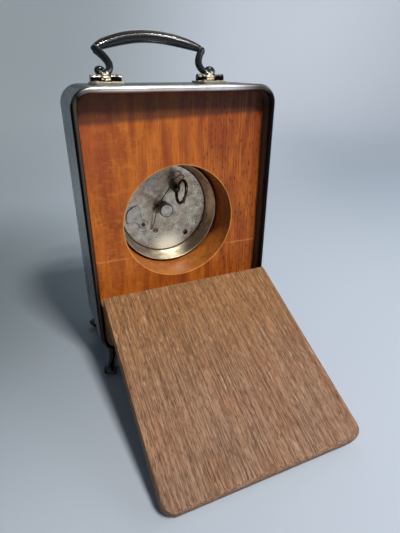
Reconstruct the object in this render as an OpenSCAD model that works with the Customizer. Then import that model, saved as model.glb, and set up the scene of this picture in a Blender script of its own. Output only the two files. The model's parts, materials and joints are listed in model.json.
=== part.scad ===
// Travelling clock in a metal-covered wooden case, back door folded down.
// Case coordinates: x across, y from the back rim towards the viewer, z up from the floor.

/* [Case] */
// Width of the case
case_w = 85; // [80:0.5:100]
// Height of the case without feet
case_h = 115; // [110:0.5:130]
// Depth of the case from back rim to front face
case_d = 35; // [34:0.5:40]
// Radius of the case's four long corners
corner_r = 8; // [7:0.5:10]
// Thickness of the metal sheet
sheet_t = 0.9; // [0.6:0.1:1]
// Thickness of the wooden carcass inside the sheet
carcass_t = 1.4; // [1.2:0.1:1.8]
// Radius of the rounded front edge
front_edge_r = 2.5; // [2:0.1:3]
// Height of the feet under the case
foot_h = 9.5; // [8:0.5:12]
// Depth of the wood block's face behind the back rim
recess_d = 6; // [5:0.5:8]
// Radius of the bore in the wood block
bore_r = 26; // [25.6:0.1:28]
// Height of the bore's centre above the floor
bore_z = 66.9; // [62:0.1:70]

/* [Back door] */
// Length of the door from the hinge pin to its far edge
door_len = 86.4; // [84:0.1:86.6]
// Thickness of the door and of the back rail
door_t = 7; // [6.4:0.1:8]
// Gap between the door and the case on each side
door_gap = 0.4; // [0.3:0.1:1]
// Radius of the door's rounded far edge
door_edge_r = 2; // [1:0.1:3]
// Gap between the closed door and the wood block
door_seat_gap = 0.1; // [0.05:0.05:0.3]
// Height of the door's hinge pin above the floor
hinge_z = 35.1; // [33:0.1:36]
// Length of each door hinge
hinge_len = 14; // [10:0.5:18]
// Distance of each door hinge from the middle
hinge_x = 24; // [18:0.5:28]
// Outside radius of the door hinge's knuckles
hinge_r = 1.1; // [1:0.05:1.4]
// Thickness of the hinge leaves
leaf_t = 0.7; // [0.5:0.05:0.8]
// Depth of the hinge leaves from the pin into the wood
leaf_d = 5.4; // [5:0.1:6]
// Radius of the door hinge pins
hinge_pin_r = 0.5; // [0.4:0.05:0.55]

/* [Handle] */
// Angle that the handle leans to the front at rest
lean_angle = 47; // [0:1:70]
// Sideways offset of the handle from the middle of the case
handle_x = 3.2; // [-4:0.1:4]
// Half the distance between the handle's two hinges
handle_hinge_x = 22.4; // [20:0.1:25]
// Height of the handle's pins above the case top
handle_pin_z = 2.2; // [2.1:0.05:2.5]
// Radius of the handle pins
handle_pin_r = 0.6; // [0.5:0.05:0.7]
// Radius of the bracket knuckles
knuckle_r = 1.4; // [1.3:0.05:1.6]
// Length of each of a bracket's three knuckles
knuckle_len = 4; // [3.8:0.1:4.6]
// Thickness of the bracket's base plate
bracket_t = 0.9; // [0.7:0.05:0.95]
// Depth of the bracket's base plate
bracket_d = 14; // [12:0.5:16]
// Height of the grip's underside tips above the pins
grip_tip_h = 15.8; // [14:0.1:18]
// Height of the grip's middle line above the pins
grip_mid_h = 23.2; // [21:0.1:26]
// Half the length of the grip
grip_half = 23.8; // [22:0.1:26]
// Half the height of the grip's section in the middle
grip_a = 3.5; // [2.5:0.1:4]
// Half the thickness of the grip's section in the middle
grip_b = 2.3; // [1.8:0.1:3]

/* [Feet] */
// How far the toes' middles lie in from the case's sides
toe_in_x = 2.3; // [0:0.1:3]
// How far the toes' middles stand out past the case's front and back
toe_out_y = 4.1; // [2.5:0.1:5]
// Radius of the toe knobs
toe_r = 3.4; // [3:0.1:4]
// Distance of the foot studs in from the case's sides
stud_in_x = 6.3; // [5.5:0.1:8]
// Distance of the foot studs in from the case's front and back
stud_in_y = 5.3; // [4.6:0.1:7]
// Radius of the feet where they meet the case
knee_r = 4.2; // [4:0.1:4.4]
// Radius of the studs that hold the feet
stud_r = 0.9; // [0.7:0.05:1.2]

/* [Drum and movement] */
// Outside radius of the drum
drum_r = 24.9; // [24.7:0.05:25.2]
// Thickness of the drum's sheet
drum_t = 0.6; // [0.5:0.05:0.7]
// Depth of the drum from the case's front face back to its back cover
drum_depth = 6.2; // [6:0.1:6.8]
// Height of the drum's back lip over its back cover
lip_rise = 8.2; // [7:0.1:10]
// Radius of the drum's back cover
cover_r = 22.3; // [22:0.05:22.4]
// Thickness of the back cover
cover_t = 0.5; // [0.4:0.05:0.6]
// Outside radius of the bezel
bezel_r = 29; // [28.5:0.1:31]
// Height of the bezel in front of the case
bezel_h = 5; // [4.9:0.1:6]
// Radius of the glass
glass_r = 24.4; // [24:0.1:25]
// Length of the hour hand from the drum's centre
hour_hand_len = 11.5; // [9:0.5:14]
// Length of the minute hand from the drum's centre
minute_hand_len = 17.5; // [15:0.5:20]
// Sideways place of the barrel arbor from the drum's centre
barrel_x = -5.6; // [-5.8:0.1:-5.4]
// Upward place of the barrel arbor from the drum's centre
barrel_z = 10.5; // [10.3:0.1:10.7]
// Radius of the winding key's hub
hub_r = 2.1; // [1.9:0.1:2.3]
// Radius of the key ring's middle line
ring_r = 5.3; // [4.5:0.1:5.6]
// Radius of the key ring's wire
ring_wire_r = 0.75; // [0.6:0.05:0.85]
// Radius of the setting knob
knob_r = 3.45; // [3:0.05:3.5]
// Height of the setting knob's face over the back cover
knob_h = 4.2; // [3.5:0.1:5]
// Radius of the bent wire on the back cover
wire_r = 0.25; // [0.2:0.01:0.3]
// Running clearance between pins and bores
run_gap = 0.05; // [0.03:0.01:0.08]
// Free space between pieces that pass each other
free_gap = 0.1; // [0.08:0.01:0.15]

/* [Hidden] */
$fn = 64;

// Case, worked out
wall = sheet_t + carcass_t;
bead_r = wall / 2;
case_top = foot_h + case_h;
case_mid_z = foot_h + case_h / 2;
mid_y = -case_d / 2;
inner_w = case_w - 2 * wall;
inner_h = case_h - 2 * wall;
inner_r = corner_r - wall;
inner_bottom = foot_h + wall;
glue_gap = 0.05;
block_back_y = -recess_d;
block_front_y = -(case_d - sheet_t - glue_gap);
toe_x = case_w / 2 - toe_in_x;
toe_y = case_d / 2 + toe_out_y;
ankle_x = case_w / 2 - stud_in_x;
ankle_y = case_d / 2 - stud_in_y;
cover_depth = case_d - drum_depth;

// Door, worked out: it is drawn closed and folded down until its far edge meets the floor
door_w = inner_w - 2 * door_gap;
door_corner_r = inner_r - door_gap;
hinge_y = block_back_y + door_seat_gap + door_t;
hinge_split = 0.2;
door_reach = [door_len - door_edge_r, door_edge_r];
open_angle = atan2(door_reach[1], door_reach[0]) + acos((door_edge_r - hinge_z) / norm(door_reach));

// Whole part, worked out: the origin lies under the middle of its box
part_back_y = hinge_y + door_reach[0] * sin(open_angle)
    + (door_edge_r - door_t) * cos(open_angle) + door_edge_r;
part_front_y = mid_y - toe_y - toe_r;
frame_y = -(part_back_y + part_front_y) / 2;

// Colours as the photograph shows them
steel_grey = [0.36, 0.38, 0.41];
bright_silver = [0.78, 0.77, 0.74];
dark_stain = [0.14, 0.09, 0.06];
varnished_wood = [0.66, 0.36, 0.15];
raw_oak = [0.58, 0.42, 0.28];
black_metal = [0.08, 0.08, 0.09];
nickel = [0.66, 0.64, 0.6];
brass = [0.76, 0.62, 0.33];
blued_steel = [0.12, 0.14, 0.24];
dark_steel = [0.3, 0.3, 0.31];
enamel = [0.93, 0.92, 0.88];
clear_glass = [0.8, 0.88, 0.9, 0.4];

// Depths inside the drum, measured forward from the back cover's face
case_front_s = drum_depth;
lip_s = -lip_rise;
through = 10;
rear_plate_s = 1.6;
plate_t = 0.7;
inside_s = rear_plate_s + plate_t;
front_plate_s = 5.5;
motion_s = front_plate_s + plate_t;
dial_s = motion_s + 1.5;
dial_t = 0.5;
hour_hand_s = dial_s + dial_t + 0.3;
minute_hand_s = hour_hand_s + 0.6;
hand_t = 0.2;
glass_t = 0.8;
bezel_seat_gap = 0.05;
bezel_front_s = case_front_s + bezel_seat_gap + bezel_h;
glass_s = bezel_front_s - 0.5 - glass_t;
movement_r = drum_r - drum_t - 0.1;
drum_front_s = dial_s + dial_t + 0.2;

// Going train: teeth, modules and places from the drum's centre
barrel_pos = [barrel_x, barrel_z];
barrel_teeth = 84;
centre_pinion_teeth = 12;
barrel_module = 2 * norm(barrel_pos) / (barrel_teeth + centre_pinion_teeth);
centre_teeth = 60;
small_pinion_teeth = 8;
centre_module = 0.2;
third_teeth = 64;
third_module = 0.16;
fourth_teeth = 60;
escape_pinion_teeth = 6;
fourth_module = 0.14;
escape_teeth = 15;
escape_r = 2.4;
third_turn = 0;
fourth_turn = -70;
escape_turn = -120;
pallet_turn = 200;
balance_turn = 190;
function polar(r, a) = [r * cos(a), r * sin(a)];
function centre_distance(m, za, zb) = m * (za + zb) / 2;
third_pos = polar(centre_distance(centre_module, centre_teeth, small_pinion_teeth), third_turn);
fourth_pos = third_pos + polar(centre_distance(third_module, third_teeth, small_pinion_teeth), fourth_turn);
escape_pos = fourth_pos
    + polar(centre_distance(fourth_module, fourth_teeth, escape_pinion_teeth), escape_turn);
pallet_pos = escape_pos + polar(3.4, pallet_turn);
balance_pos = pallet_pos + polar(6.1, balance_turn);
balance_r = 5.1;
arbor_r = 0.3;
pivot_r = 0.18;
wheel_t = 0.3;

// Phase that brings a gear's gaps over the teeth of the gear it meets
function mesh_phase(line, za, phase_a, zb) =
    let (turns = (line - phase_a) * za / 360, part = turns - floor(turns))
    line + 180 + (part + 0.5) * 360 / zb;
barrel_line = atan2(barrel_z, barrel_x);
barrel_phase = mesh_phase(barrel_line, centre_pinion_teeth, 0, barrel_teeth);
third_phase = mesh_phase(third_turn, centre_teeth, 0, small_pinion_teeth);
fourth_phase = mesh_phase(fourth_turn, third_teeth, 0, small_pinion_teeth);
escape_phase = mesh_phase(escape_turn, fourth_teeth, 0, escape_pinion_teeth);

// Motion work between the front movement plate and the dial
cannon_teeth = 12;
minute_teeth = 36;
minute_pinion_teeth = 10;
hour_teeth = 40;
motion_distance = 6;
motion_turn = -45;
minute_pos = polar(motion_distance, motion_turn);
cannon_module = 2 * motion_distance / (cannon_teeth + minute_teeth);
hour_module = 2 * motion_distance / (minute_pinion_teeth + hour_teeth);
minute_phase = mesh_phase(motion_turn, cannon_teeth, 0, minute_teeth);
hour_phase = mesh_phase(motion_turn + 180, minute_pinion_teeth, 0, hour_teeth);

// Places
module place() { translate([0, frame_y, 0]) children(); }
// Local x is case x, local y is up, local z runs forward from the back rim
module upright() { translate([0, 0, case_mid_z]) rotate([90, 0, 0]) children(); }
// Local z runs forward from the back cover's face, on the drum's axis
module in_drum(at = [0, 0], s = 0) {
    translate([0, -cover_depth, bore_z]) rotate([90, 0, 0]) translate([at[0], at[1], s]) children();
}
// Door pieces are drawn closed about the hinge pin: x across, y out of the case, z along the door
module on_door() { translate([0, hinge_y, hinge_z]) rotate([-open_angle, 0, 0]) children(); }
module on_rail() { translate([0, hinge_y, hinge_z]) children(); }
// Handle pieces are drawn upright about the handle pins
module on_handle() {
    translate([handle_x, mid_y, case_top + handle_pin_z]) rotate([lean_angle, 0, 0]) children();
}

// Shapes used again
module round_rect(w, h, r) {
    square([w - 2 * r, h], center = true);
    square([w, h - 2 * r], center = true);
    for (x = [-1, 1], y = [-1, 1]) translate([x * (w / 2 - r), y * (h / 2 - r)]) circle(r);
}
// Sweeps a profile round a rectangle with rounded corners: profile x is the distance from the corner's centre
module around(w, h, r) {
    for (k = [0:3]) {
        a = (k % 2 == 0) ? w / 2 - r : h / 2 - r;
        b = (k % 2 == 0) ? h / 2 - r : w / 2 - r;
        rotate([0, 0, 90 * k]) {
            translate([a, b, 0]) rotate([90, 0, 0]) linear_extrude(2 * b) children();
            translate([a, b, 0]) rotate_extrude(angle = 90) children();
        }
    }
}
module along_x(r, len) { rotate([0, 90, 0]) cylinder(r = r, h = len, center = true); }
module ring(r_out, r_in, h) {
    difference() {
        cylinder(r = r_out, h = h);
        translate([0, 0, -1]) cylinder(r = r_in, h = h + 2);
    }
}
// Gear outline with slim teeth, so that meshed gears never touch at any phase
tooth_tip = 0.7;
tooth_root = 1.1;
tooth_width = 0.34;
module gear(teeth, m, h, phase = 0) {
    r = teeth * m / 2;
    pitch = 360 / teeth;
    rotate([0, 0, phase]) linear_extrude(h) polygon([
        for (k = [0:teeth - 1], q = [
            [r - tooth_root * m, -tooth_width * 0.72], [r, -tooth_width / 2],
            [r + tooth_tip * m, -tooth_width * 0.22], [r + tooth_tip * m, tooth_width * 0.22],
            [r, tooth_width / 2], [r - tooth_root * m, tooth_width * 0.72],
        ]) polar(q[0], (k + q[1]) * pitch)
    ]);
}
// Wheel with four spokes
module spoked_wheel(teeth, m, h, hub, phase = 0) {
    root = teeth * m / 2 - tooth_root * m;
    rim = root - 0.55;
    difference() {
        gear(teeth, m, h, phase);
        translate([0, 0, -1]) cylinder(r = rim, h = h + 2);
    }
    intersection() {
        cylinder(r = root - 0.2, h = h);
        for (a = [0, 90]) rotate([0, 0, a + phase]) translate([-root, -0.3, 0]) cube([2 * root, 0.6, h]);
    }
    cylinder(r = hub, h = h);
}
// Arbor with thin pivots at both ends that run in the movement plates
module arbor_solid(r = arbor_r, from = inside_s + free_gap, to = front_plate_s - free_gap) {
    translate([0, 0, from]) cylinder(r = r, h = to - from);
    translate([0, 0, rear_plate_s + free_gap])
        cylinder(r = pivot_r, h = motion_s - rear_plate_s - 2 * free_gap);
}

// Smooth curve through given points, and a closed tube with oval sections along it
function spline_point(p, i, t) =
    let (a = p[max(i - 1, 0)], b = p[i], c = p[i + 1], d = p[min(i + 2, len(p) - 1)])
    0.5 * (2 * b + (c - a) * t + (2 * a - 5 * b + 4 * c - d) * t * t + (3 * b - a - 3 * c + d) * t * t * t);
function smooth(p, steps) = [
    for (i = [0:len(p) - 2], k = [0:steps - 1]) spline_point(p, i, k / steps),
    p[len(p) - 1],
];
function unit(v) = v / norm(v);
function tangent(p, i) = unit(p[min(i + 1, len(p) - 1)] - p[max(i - 1, 0)]);
// Each path point is [x, y, z, half width across side, half width across the other way]
module tube(path, side, sides) {
    spots = [for (q = path) [q[0], q[1], q[2]]];
    count = len(spots);
    rings = [
        for (i = [0:count - 1])
            let (t = tangent(spots, i), v = unit(cross(t, side)), u = cross(v, t))
            for (k = [0:sides - 1])
                spots[i] + path[i][3] * cos(360 * k / sides) * v + path[i][4] * sin(360 * k / sides) * u
    ];
    ends = [[for (k = [sides - 1:-1:0]) k], [for (k = [0:sides - 1]) (count - 1) * sides + k]];
    skin = [
        for (i = [0:count - 2], k = [0:sides - 1])
            let (a = i * sides + k, b = i * sides + (k + 1) % sides)
            for (f = [[a, b, a + sides], [b, b + sides, a + sides]]) f
    ];
    polyhedron(rings, concat(ends, skin));
}

// Case
module case_band() {
    tuck_s = case_d - front_edge_r;
    color(steel_grey) difference() {
        upright() around(case_w, case_h, corner_r) {
            translate([corner_r - bead_r, bead_r]) circle(bead_r);
            translate([corner_r - sheet_t, bead_r]) square([sheet_t, tuck_s - bead_r]);
        }
        case_holes();
    }
}
module front_plate() {
    flat_r = corner_r - front_edge_r;
    color(bright_silver) difference() {
        union() {
            upright() around(case_w, case_h, corner_r) translate([flat_r, case_d - front_edge_r])
                intersection() {
                    difference() {
                        circle(front_edge_r);
                        circle(front_edge_r - sheet_t);
                    }
                    square(front_edge_r);
                }
            upright() translate([0, 0, case_d - sheet_t]) linear_extrude(sheet_t)
                round_rect(case_w - 2 * front_edge_r, case_h - 2 * front_edge_r, flat_r);
        }
        in_drum(s = case_front_s - 2 * sheet_t) cylinder(r = drum_r + run_gap, h = 3 * sheet_t);
    }
}
module carcass() {
    from = 2 * bead_r + glue_gap;
    to = case_d - front_edge_r - glue_gap;
    color(dark_stain) difference() {
        upright() around(case_w, case_h, corner_r)
            translate([inner_r, from]) square([carcass_t - glue_gap, to - from]);
        case_holes();
    }
}
// Holes through the band and the carcass for the foot studs and the bracket screws
module case_holes() {
    studs(stud_r + run_gap, foot_h - 1, foot_h + 2 * wall);
    bracket_screw_shanks(screw_r + run_gap, case_top - 2 * wall, case_top + 1);
}
module wood_block() {
    color(varnished_wood) difference() {
        upright() translate([0, 0, -block_back_y]) linear_extrude(block_back_y - block_front_y)
            round_rect(inner_w - 2 * glue_gap, inner_h - 2 * glue_gap, inner_r - glue_gap);
        in_drum(s = -cover_depth) cylinder(r = bore_r, h = case_d + 1);
    }
}
rail_top = hinge_z - hinge_split;
module back_rail() {
    rail_h = rail_top - inner_bottom - door_gap;
    color(raw_oak) difference() {
        translate([0, block_back_y + door_t + door_seat_gap, 0]) rotate([90, 0, 0]) linear_extrude(door_t)
            translate([0, inner_bottom + door_gap]) intersection() {
                translate([0, rail_h]) round_rect(door_w, 2 * rail_h, door_corner_r);
                translate([-door_w / 2, 0]) square([door_w, rail_h]);
            }
        for (x = [-1, 1]) on_rail() translate([x * hinge_x, 0, 0]) {
            along_x(hinge_r + free_gap, hinge_len + 2 * free_gap);
            leaf_seat(-1);
        }
        for (x = screw_places) on_rail() translate([x, -leaf_screw_y, 0]) rotate([180, 0, 0]) screw_hole();
    }
}
// Seat for one leaf, below the pin on the rail and above it on the door
module leaf_seat(side) {
    translate([-hinge_len / 2 - free_gap, -leaf_d - free_gap, side > 0 ? 0 : -leaf_t - free_gap])
        cube([hinge_len + 2 * free_gap, leaf_d + free_gap, leaf_t + free_gap]);
}
module back_door() {
    low = hinge_split;
    color(raw_oak) on_door() difference() {
        intersection() {
            rotate([90, 0, 0]) linear_extrude(door_t) intersection() {
                round_rect(door_w, 2 * door_len, door_corner_r);
                translate([-door_w / 2, low]) square([door_w, door_len]);
            }
            rotate([90, 0, 90]) linear_extrude(door_w, center = true) {
                translate([-door_t, low]) square([door_t, door_len - door_edge_r - low]);
                translate([door_edge_r - door_t, low]) square([door_t - 2 * door_edge_r, door_len - low]);
                for (y = [door_edge_r - door_t, -door_edge_r])
                    translate([y, door_len - door_edge_r]) circle(door_edge_r);
            }
        }
        for (x = [-1, 1]) translate([x * hinge_x, 0, 0]) {
            along_x(hinge_r + free_gap, hinge_len + 2 * free_gap);
            leaf_seat(1);
        }
        for (x = screw_places) translate([x, -leaf_screw_y, 0]) screw_hole();
    }
}

// Door hinges
leaf_screw_y = 3.4;
leaf_screw_x = 4.4;
screw_places = [for (x = [-1, 1], s = [-1, 1]) x * hinge_x + s * leaf_screw_x];
screw_r = 0.45;
screw_head_r = 0.95;
screw_len = 4;
module screw_hole() { cylinder(r = screw_r + run_gap, h = screw_len + leaf_t); }
module leaf_screws() {
    for (x = screw_places) translate([x, -leaf_screw_y, free_gap]) {
        difference() {
            cylinder(r1 = screw_head_r, r2 = screw_r, h = leaf_t - free_gap);
            translate([-screw_head_r, -slot_w / 2, -1]) cube([2 * screw_head_r, slot_w, 1.2]);
        }
        cylinder(r = screw_r, h = 0.2);
        translate([0, 0, 0.2]) cylinder(r = screw_r, h = screw_len - 0.2);
    }
}
// One leaf above the pin, with its share of the three knuckles
module hinge_leaf(middle) {
    third = hinge_len / 3;
    knuckles = middle ? [0] : [-third, third];
    difference() {
        union() {
            translate([-hinge_len / 2, -leaf_d, free_gap])
                cube([hinge_len, leaf_d - (hinge_r + free_gap), leaf_t - free_gap]);
            for (x = knuckles) translate([x, 0, 0]) {
                along_x(hinge_r, third - 2 * free_gap);
                translate([-third / 2 + free_gap, -hinge_r - 2 * free_gap, free_gap])
                    cube([third - 2 * free_gap, hinge_r + 2 * free_gap, leaf_t - free_gap]);
            }
        }
        along_x(hinge_pin_r + run_gap, hinge_len + 1);
        for (s = [-1, 1]) translate([s * leaf_screw_x, -leaf_screw_y, free_gap - 0.01])
            cylinder(r1 = screw_head_r + run_gap, r2 = screw_r + run_gap, h = leaf_t - free_gap + 0.02);
    }
}
module rail_hinge_leaves() {
    color(brass) for (x = [-1, 1]) on_rail() translate([x * hinge_x, 0, 0]) mirror([0, 0, 1])
        hinge_leaf(false);
}
module door_hinge_leaves() {
    color(brass) for (x = [-1, 1]) on_door() translate([x * hinge_x, 0, 0]) hinge_leaf(true);
}
module door_hinge_pins() {
    color(brass) for (x = [-1, 1]) on_rail() translate([x * hinge_x, 0, 0]) along_x(hinge_pin_r, hinge_len);
}
module rail_hinge_screws() { color(brass) on_rail() mirror([0, 0, 1]) leaf_screws(); }
module door_hinge_screws() { color(brass) on_door() leaf_screws(); }

// Handle: one casting with an arched grip, two scroll legs and a tongue at each hinge
grip_rise = grip_mid_h - grip_tip_h;
grip_tip_a = 1.5;
grip_tip_b = 1.5;
grip_steps = 24;
grip_path = [
    for (i = [0:grip_steps])
        let (f = 2 * i / grip_steps - 1, full = 1 - f * f * f * f)
        [
            f * grip_half, 0, grip_tip_h + grip_rise * (1 - f * f),
            grip_tip_a + (grip_a - grip_tip_a) * full, grip_tip_b + (grip_b - grip_tip_b) * full,
        ]
];
scroll_r = 1.8;
scroll_x = handle_hinge_x + 0.9;
scroll_h = 4.3;
leg_r = 1.6;
// Leg from the grip's tip down to its foot, drawn for the side where x is positive
leg_points = [
    [grip_half - 0.4, 0, grip_tip_h + 0.5, 1.8, 1.7],
    [grip_half - 2.4, 0, 12.6, 1.8, 1.7],
    [grip_half - 4, 0, 9, leg_r, leg_r],
    [grip_half - 4.2, 0, 6, leg_r, leg_r],
    [handle_hinge_x - 1.8, 0, 3.7, leg_r - 0.2, leg_r - 0.2],
    [handle_hinge_x - 0.2, 0, 2.2, leg_r - 0.4, leg_r - 0.4],
];
leg_path = smooth(leg_points, 3);
tongue_len = knuckle_len - 2 * free_gap;
tongue_r = handle_pin_z - bracket_t - free_gap;
module handle() {
    color(black_metal) on_handle() difference() {
        union() {
            tube(grip_path, [0, 1, 0], 16);
            for (s = [0, 1]) mirror([s, 0, 0]) {
                tube(leg_path, [0, 1, 0], 12);
                translate([scroll_x, 0, scroll_h]) sphere(scroll_r);
                translate([handle_hinge_x, 0, 0]) {
                    along_x(tongue_r, tongue_len);
                    translate([-tongue_len / 2, -tongue_r * 0.8, 0])
                        cube([tongue_len, 1.6 * tongue_r, scroll_h - 1]);
                }
            }
        }
        for (s = [-1, 1]) translate([s * handle_hinge_x, 0, 0])
            along_x(handle_pin_r + run_gap, 3 * knuckle_len);
    }
}
module bracket(side) {
    half_len = 1.5 * knuckle_len;
    bracket_edge_r = 1.5;
    color(bright_silver)
        translate([handle_x + side * handle_hinge_x, mid_y, case_top]) difference() {
            union() {
                linear_extrude(bracket_t) round_rect(2 * half_len, bracket_d, bracket_edge_r);
                for (s = [-1, 1]) translate([s * knuckle_len, 0, 0]) {
                    translate([0, 0, handle_pin_z]) along_x(knuckle_r, knuckle_len);
                    translate([-knuckle_len / 2, -knuckle_r, 0])
                        cube([knuckle_len, 2 * knuckle_r, handle_pin_z]);
                }
            }
            translate([0, 0, handle_pin_z]) along_x(handle_pin_r + run_gap, 3 * knuckle_len + 1);
            for (t = [-1, 1]) translate([t * bracket_screw_x, t * bracket_screw_y, -1])
                cylinder(r = screw_r + run_gap, h = bracket_t + 2);
        }
}
module handle_bracket_left() { bracket(1); }
module handle_bracket_right() { bracket(-1); }
module handle_pins() {
    color(nickel) for (s = [-1, 1])
        translate([handle_x + s * handle_hinge_x, mid_y, case_top + handle_pin_z])
            along_x(handle_pin_r, 3 * knuckle_len);
}
// The screws stand on a diagonal, clear of the handle's scrolls when it lies down
bracket_screw_x = 4.6;
bracket_screw_y = 4.6;
bracket_screw_head = 0.45;
slot_w = 0.24;
module at_bracket_screws(z) {
    for (s = [-1, 1], t = [-1, 1])
        translate([handle_x + s * handle_hinge_x + t * bracket_screw_x, mid_y + t * bracket_screw_y, z])
            children();
}
module bracket_screw_shanks(r, from, to) { at_bracket_screws(from) cylinder(r = r, h = to - from); }
module bracket_screws() {
    color(nickel) {
        at_bracket_screws(case_top + bracket_t) difference() {
            cylinder(r = screw_head_r, h = bracket_screw_head);
            translate([-screw_head_r, -slot_w / 2, bracket_screw_head / 2])
                cube([2 * screw_head_r, slot_w, 1]);
        }
        bracket_screw_shanks(screw_r, case_top - wall + 0.1, case_top + bracket_t + 0.1);
    }
}

// Feet: a knee that hugs the case's rounded corner, a slim ankle and a knob toe turned outwards
toe_z = toe_r - 0.3;
foot_turn = atan2(toe_y - ankle_y, toe_x - ankle_x);
function foot_spot(f, z, a, b) =
    [ankle_x + f * (toe_x - ankle_x), ankle_y + f * (toe_y - ankle_y), z, a, b];
foot_points = [
    foot_spot(0, foot_h + 2.2, knee_r, knee_r),
    foot_spot(0.1, foot_h - 0.6, knee_r - 0.6, knee_r - 0.6),
    foot_spot(0.33, foot_h - 2.6, 2.9, 2.7),
    foot_spot(0.56, foot_h - 4.6, 2, 1.9),
    foot_spot(0.76, foot_h - 6, 2, 1.9),
    foot_spot(1, toe_z, 2.6, 2.4),
];
foot_path = smooth(foot_points, 3);
stud_depth = 2.5;
module studs(r, from, to) {
    for (x = [-1, 1], y = [-1, 1])
        translate([x * ankle_x, mid_y + y * ankle_y, from]) cylinder(r = r, h = to - from);
}
module foot(sx, sy) {
    color(black_metal) difference() {
        translate([0, mid_y, 0]) scale([sx, sy, 1]) difference() {
            union() {
                tube(foot_path, [-sin(foot_turn), cos(foot_turn), 0], 14);
                translate([toe_x, toe_y, toe_z]) sphere(toe_r);
            }
            translate([toe_x - 2 * toe_r, toe_y - 2 * toe_r, -2 * toe_r])
                cube([4 * toe_r, 4 * toe_r, 2 * toe_r]);
        }
        upright() linear_extrude(case_d)
            round_rect(case_w + 2 * glue_gap, case_h + 2 * glue_gap, corner_r + glue_gap);
        studs(stud_r + run_gap, foot_h - stud_depth - free_gap, foot_h + 2 * wall);
    }
}
module foot_back_left() { foot(1, 1); }
module foot_back_right() { foot(-1, 1); }
module foot_front_left() { foot(1, -1); }
module foot_front_right() { foot(-1, -1); }
module foot_studs() { color(dark_steel) studs(stud_r, foot_h - stud_depth, inner_bottom); }

// Drum, its back cover and its front
dish_r = cover_r + 0.15;
dish_top_r = drum_r - 0.75;
module drum_case() {
    lip_r = (drum_r - dish_top_r) / 2;
    ledge_s = cover_t + 0.05;
    color(nickel) in_drum() {
        rotate_extrude() translate([drum_r - lip_r, lip_s + lip_r]) circle(lip_r);
        rotate_extrude() translate([drum_r - drum_t, lip_s + lip_r])
            square([drum_t, drum_front_s - lip_s - lip_r]);
        rotate_extrude() polygon([
            [dish_top_r + 0.1, lip_s + lip_r - 0.1], [dish_r, 0], [dish_r, ledge_s], [dish_r - 0.8, ledge_s],
            [dish_r - 0.8, ledge_s + 0.5], [dish_r + 0.5, ledge_s + 0.5], [dish_r + 0.5, 0],
            [dish_top_r + 0.55, lip_s + lip_r - 0.1],
        ]);
    }
}
cover_hole_pos = [-11.2, -14.6];
cover_screw_pos = [5.1, -10.9];
shutter_pos = [11.4, -7];
module back_cover() {
    color(nickel) in_drum() difference() {
        cylinder(r = cover_r, h = cover_t);
        translate([cover_hole_pos[0], cover_hole_pos[1], -1]) cylinder(r = 1.1, h = 3);
        translate([cover_screw_pos[0], cover_screw_pos[1], -1]) cylinder(r = 0.8 + run_gap, h = 3);
        translate([shutter_pos[0], shutter_pos[1], -1]) cylinder(r = shutter_pin_r + run_gap, h = 3);
        translate([barrel_x, barrel_z, -1]) cylinder(r = hub_r + free_gap, h = 3);
        translate([0, 0, -1]) cylinder(r = centre_arbor_r + free_gap, h = 3);
        translate([0, 0, -1]) translate(wire_anchor) cylinder(r = wire_r + run_gap, h = 3);
    }
}
module cover_screw() {
    color(brass) in_drum(cover_screw_pos) {
        translate([0, 0, -0.5]) difference() {
            cylinder(r = 1.2, h = 0.5);
            translate([-1.3, -0.15, -0.1]) cube([2.6, 0.3, 0.35]);
        }
        cylinder(r = 0.8, h = rear_plate_s - 0.05);
    }
}
module bezel() {
    base_s = case_front_s + bezel_seat_gap;
    inner = drum_r + run_gap;
    color(bright_silver) in_drum() rotate_extrude() polygon([
        [inner, base_s], [bezel_r, base_s], [bezel_r, base_s + 1], [bezel_r - 0.8, base_s + 1.8],
        [bezel_r - 1.4, base_s + 3.2], [glass_r + 1.2, bezel_front_s], [glass_r - 0.6, bezel_front_s],
        [glass_r - 0.6, glass_s + glass_t + 0.02], [glass_r + 0.05, glass_s + glass_t + 0.02],
        [glass_r + 0.05, drum_front_s + 0.1], [inner, drum_front_s + 0.1],
    ]);
}
module dial_glass() { color(clear_glass) in_drum(s = glass_s) cylinder(r = glass_r, h = glass_t); }
module dial() {
    color(enamel) in_drum(s = dial_s) ring(drum_r - drum_t - run_gap, hour_pipe_r + free_gap, dial_t);
}
module hand(reach, wide, eye, bore) {
    belly = 0.62 * reach;
    difference() {
        union() {
            cylinder(r = eye, h = hand_t);
            linear_extrude(hand_t) polygon([[-0.4, 0], [-wide, belly], [0, reach], [wide, belly], [0.4, 0]]);
        }
        translate([0, 0, -1]) cylinder(r = bore, h = hand_t + 2);
    }
}
hand_fit = 0.01;
hour_hand_turn = 55;
minute_hand_turn = -60;
module hour_hand() {
    color(blued_steel) in_drum(s = hour_hand_s) rotate([0, 0, hour_hand_turn])
        hand(hour_hand_len, 1.5, 2, hour_pipe_r + hand_fit);
}
module minute_hand() {
    color(blued_steel) in_drum(s = minute_hand_s) rotate([0, 0, minute_hand_turn])
        hand(minute_hand_len, 1.1, 1.6, cannon_pipe_r + hand_fit);
}

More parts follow.
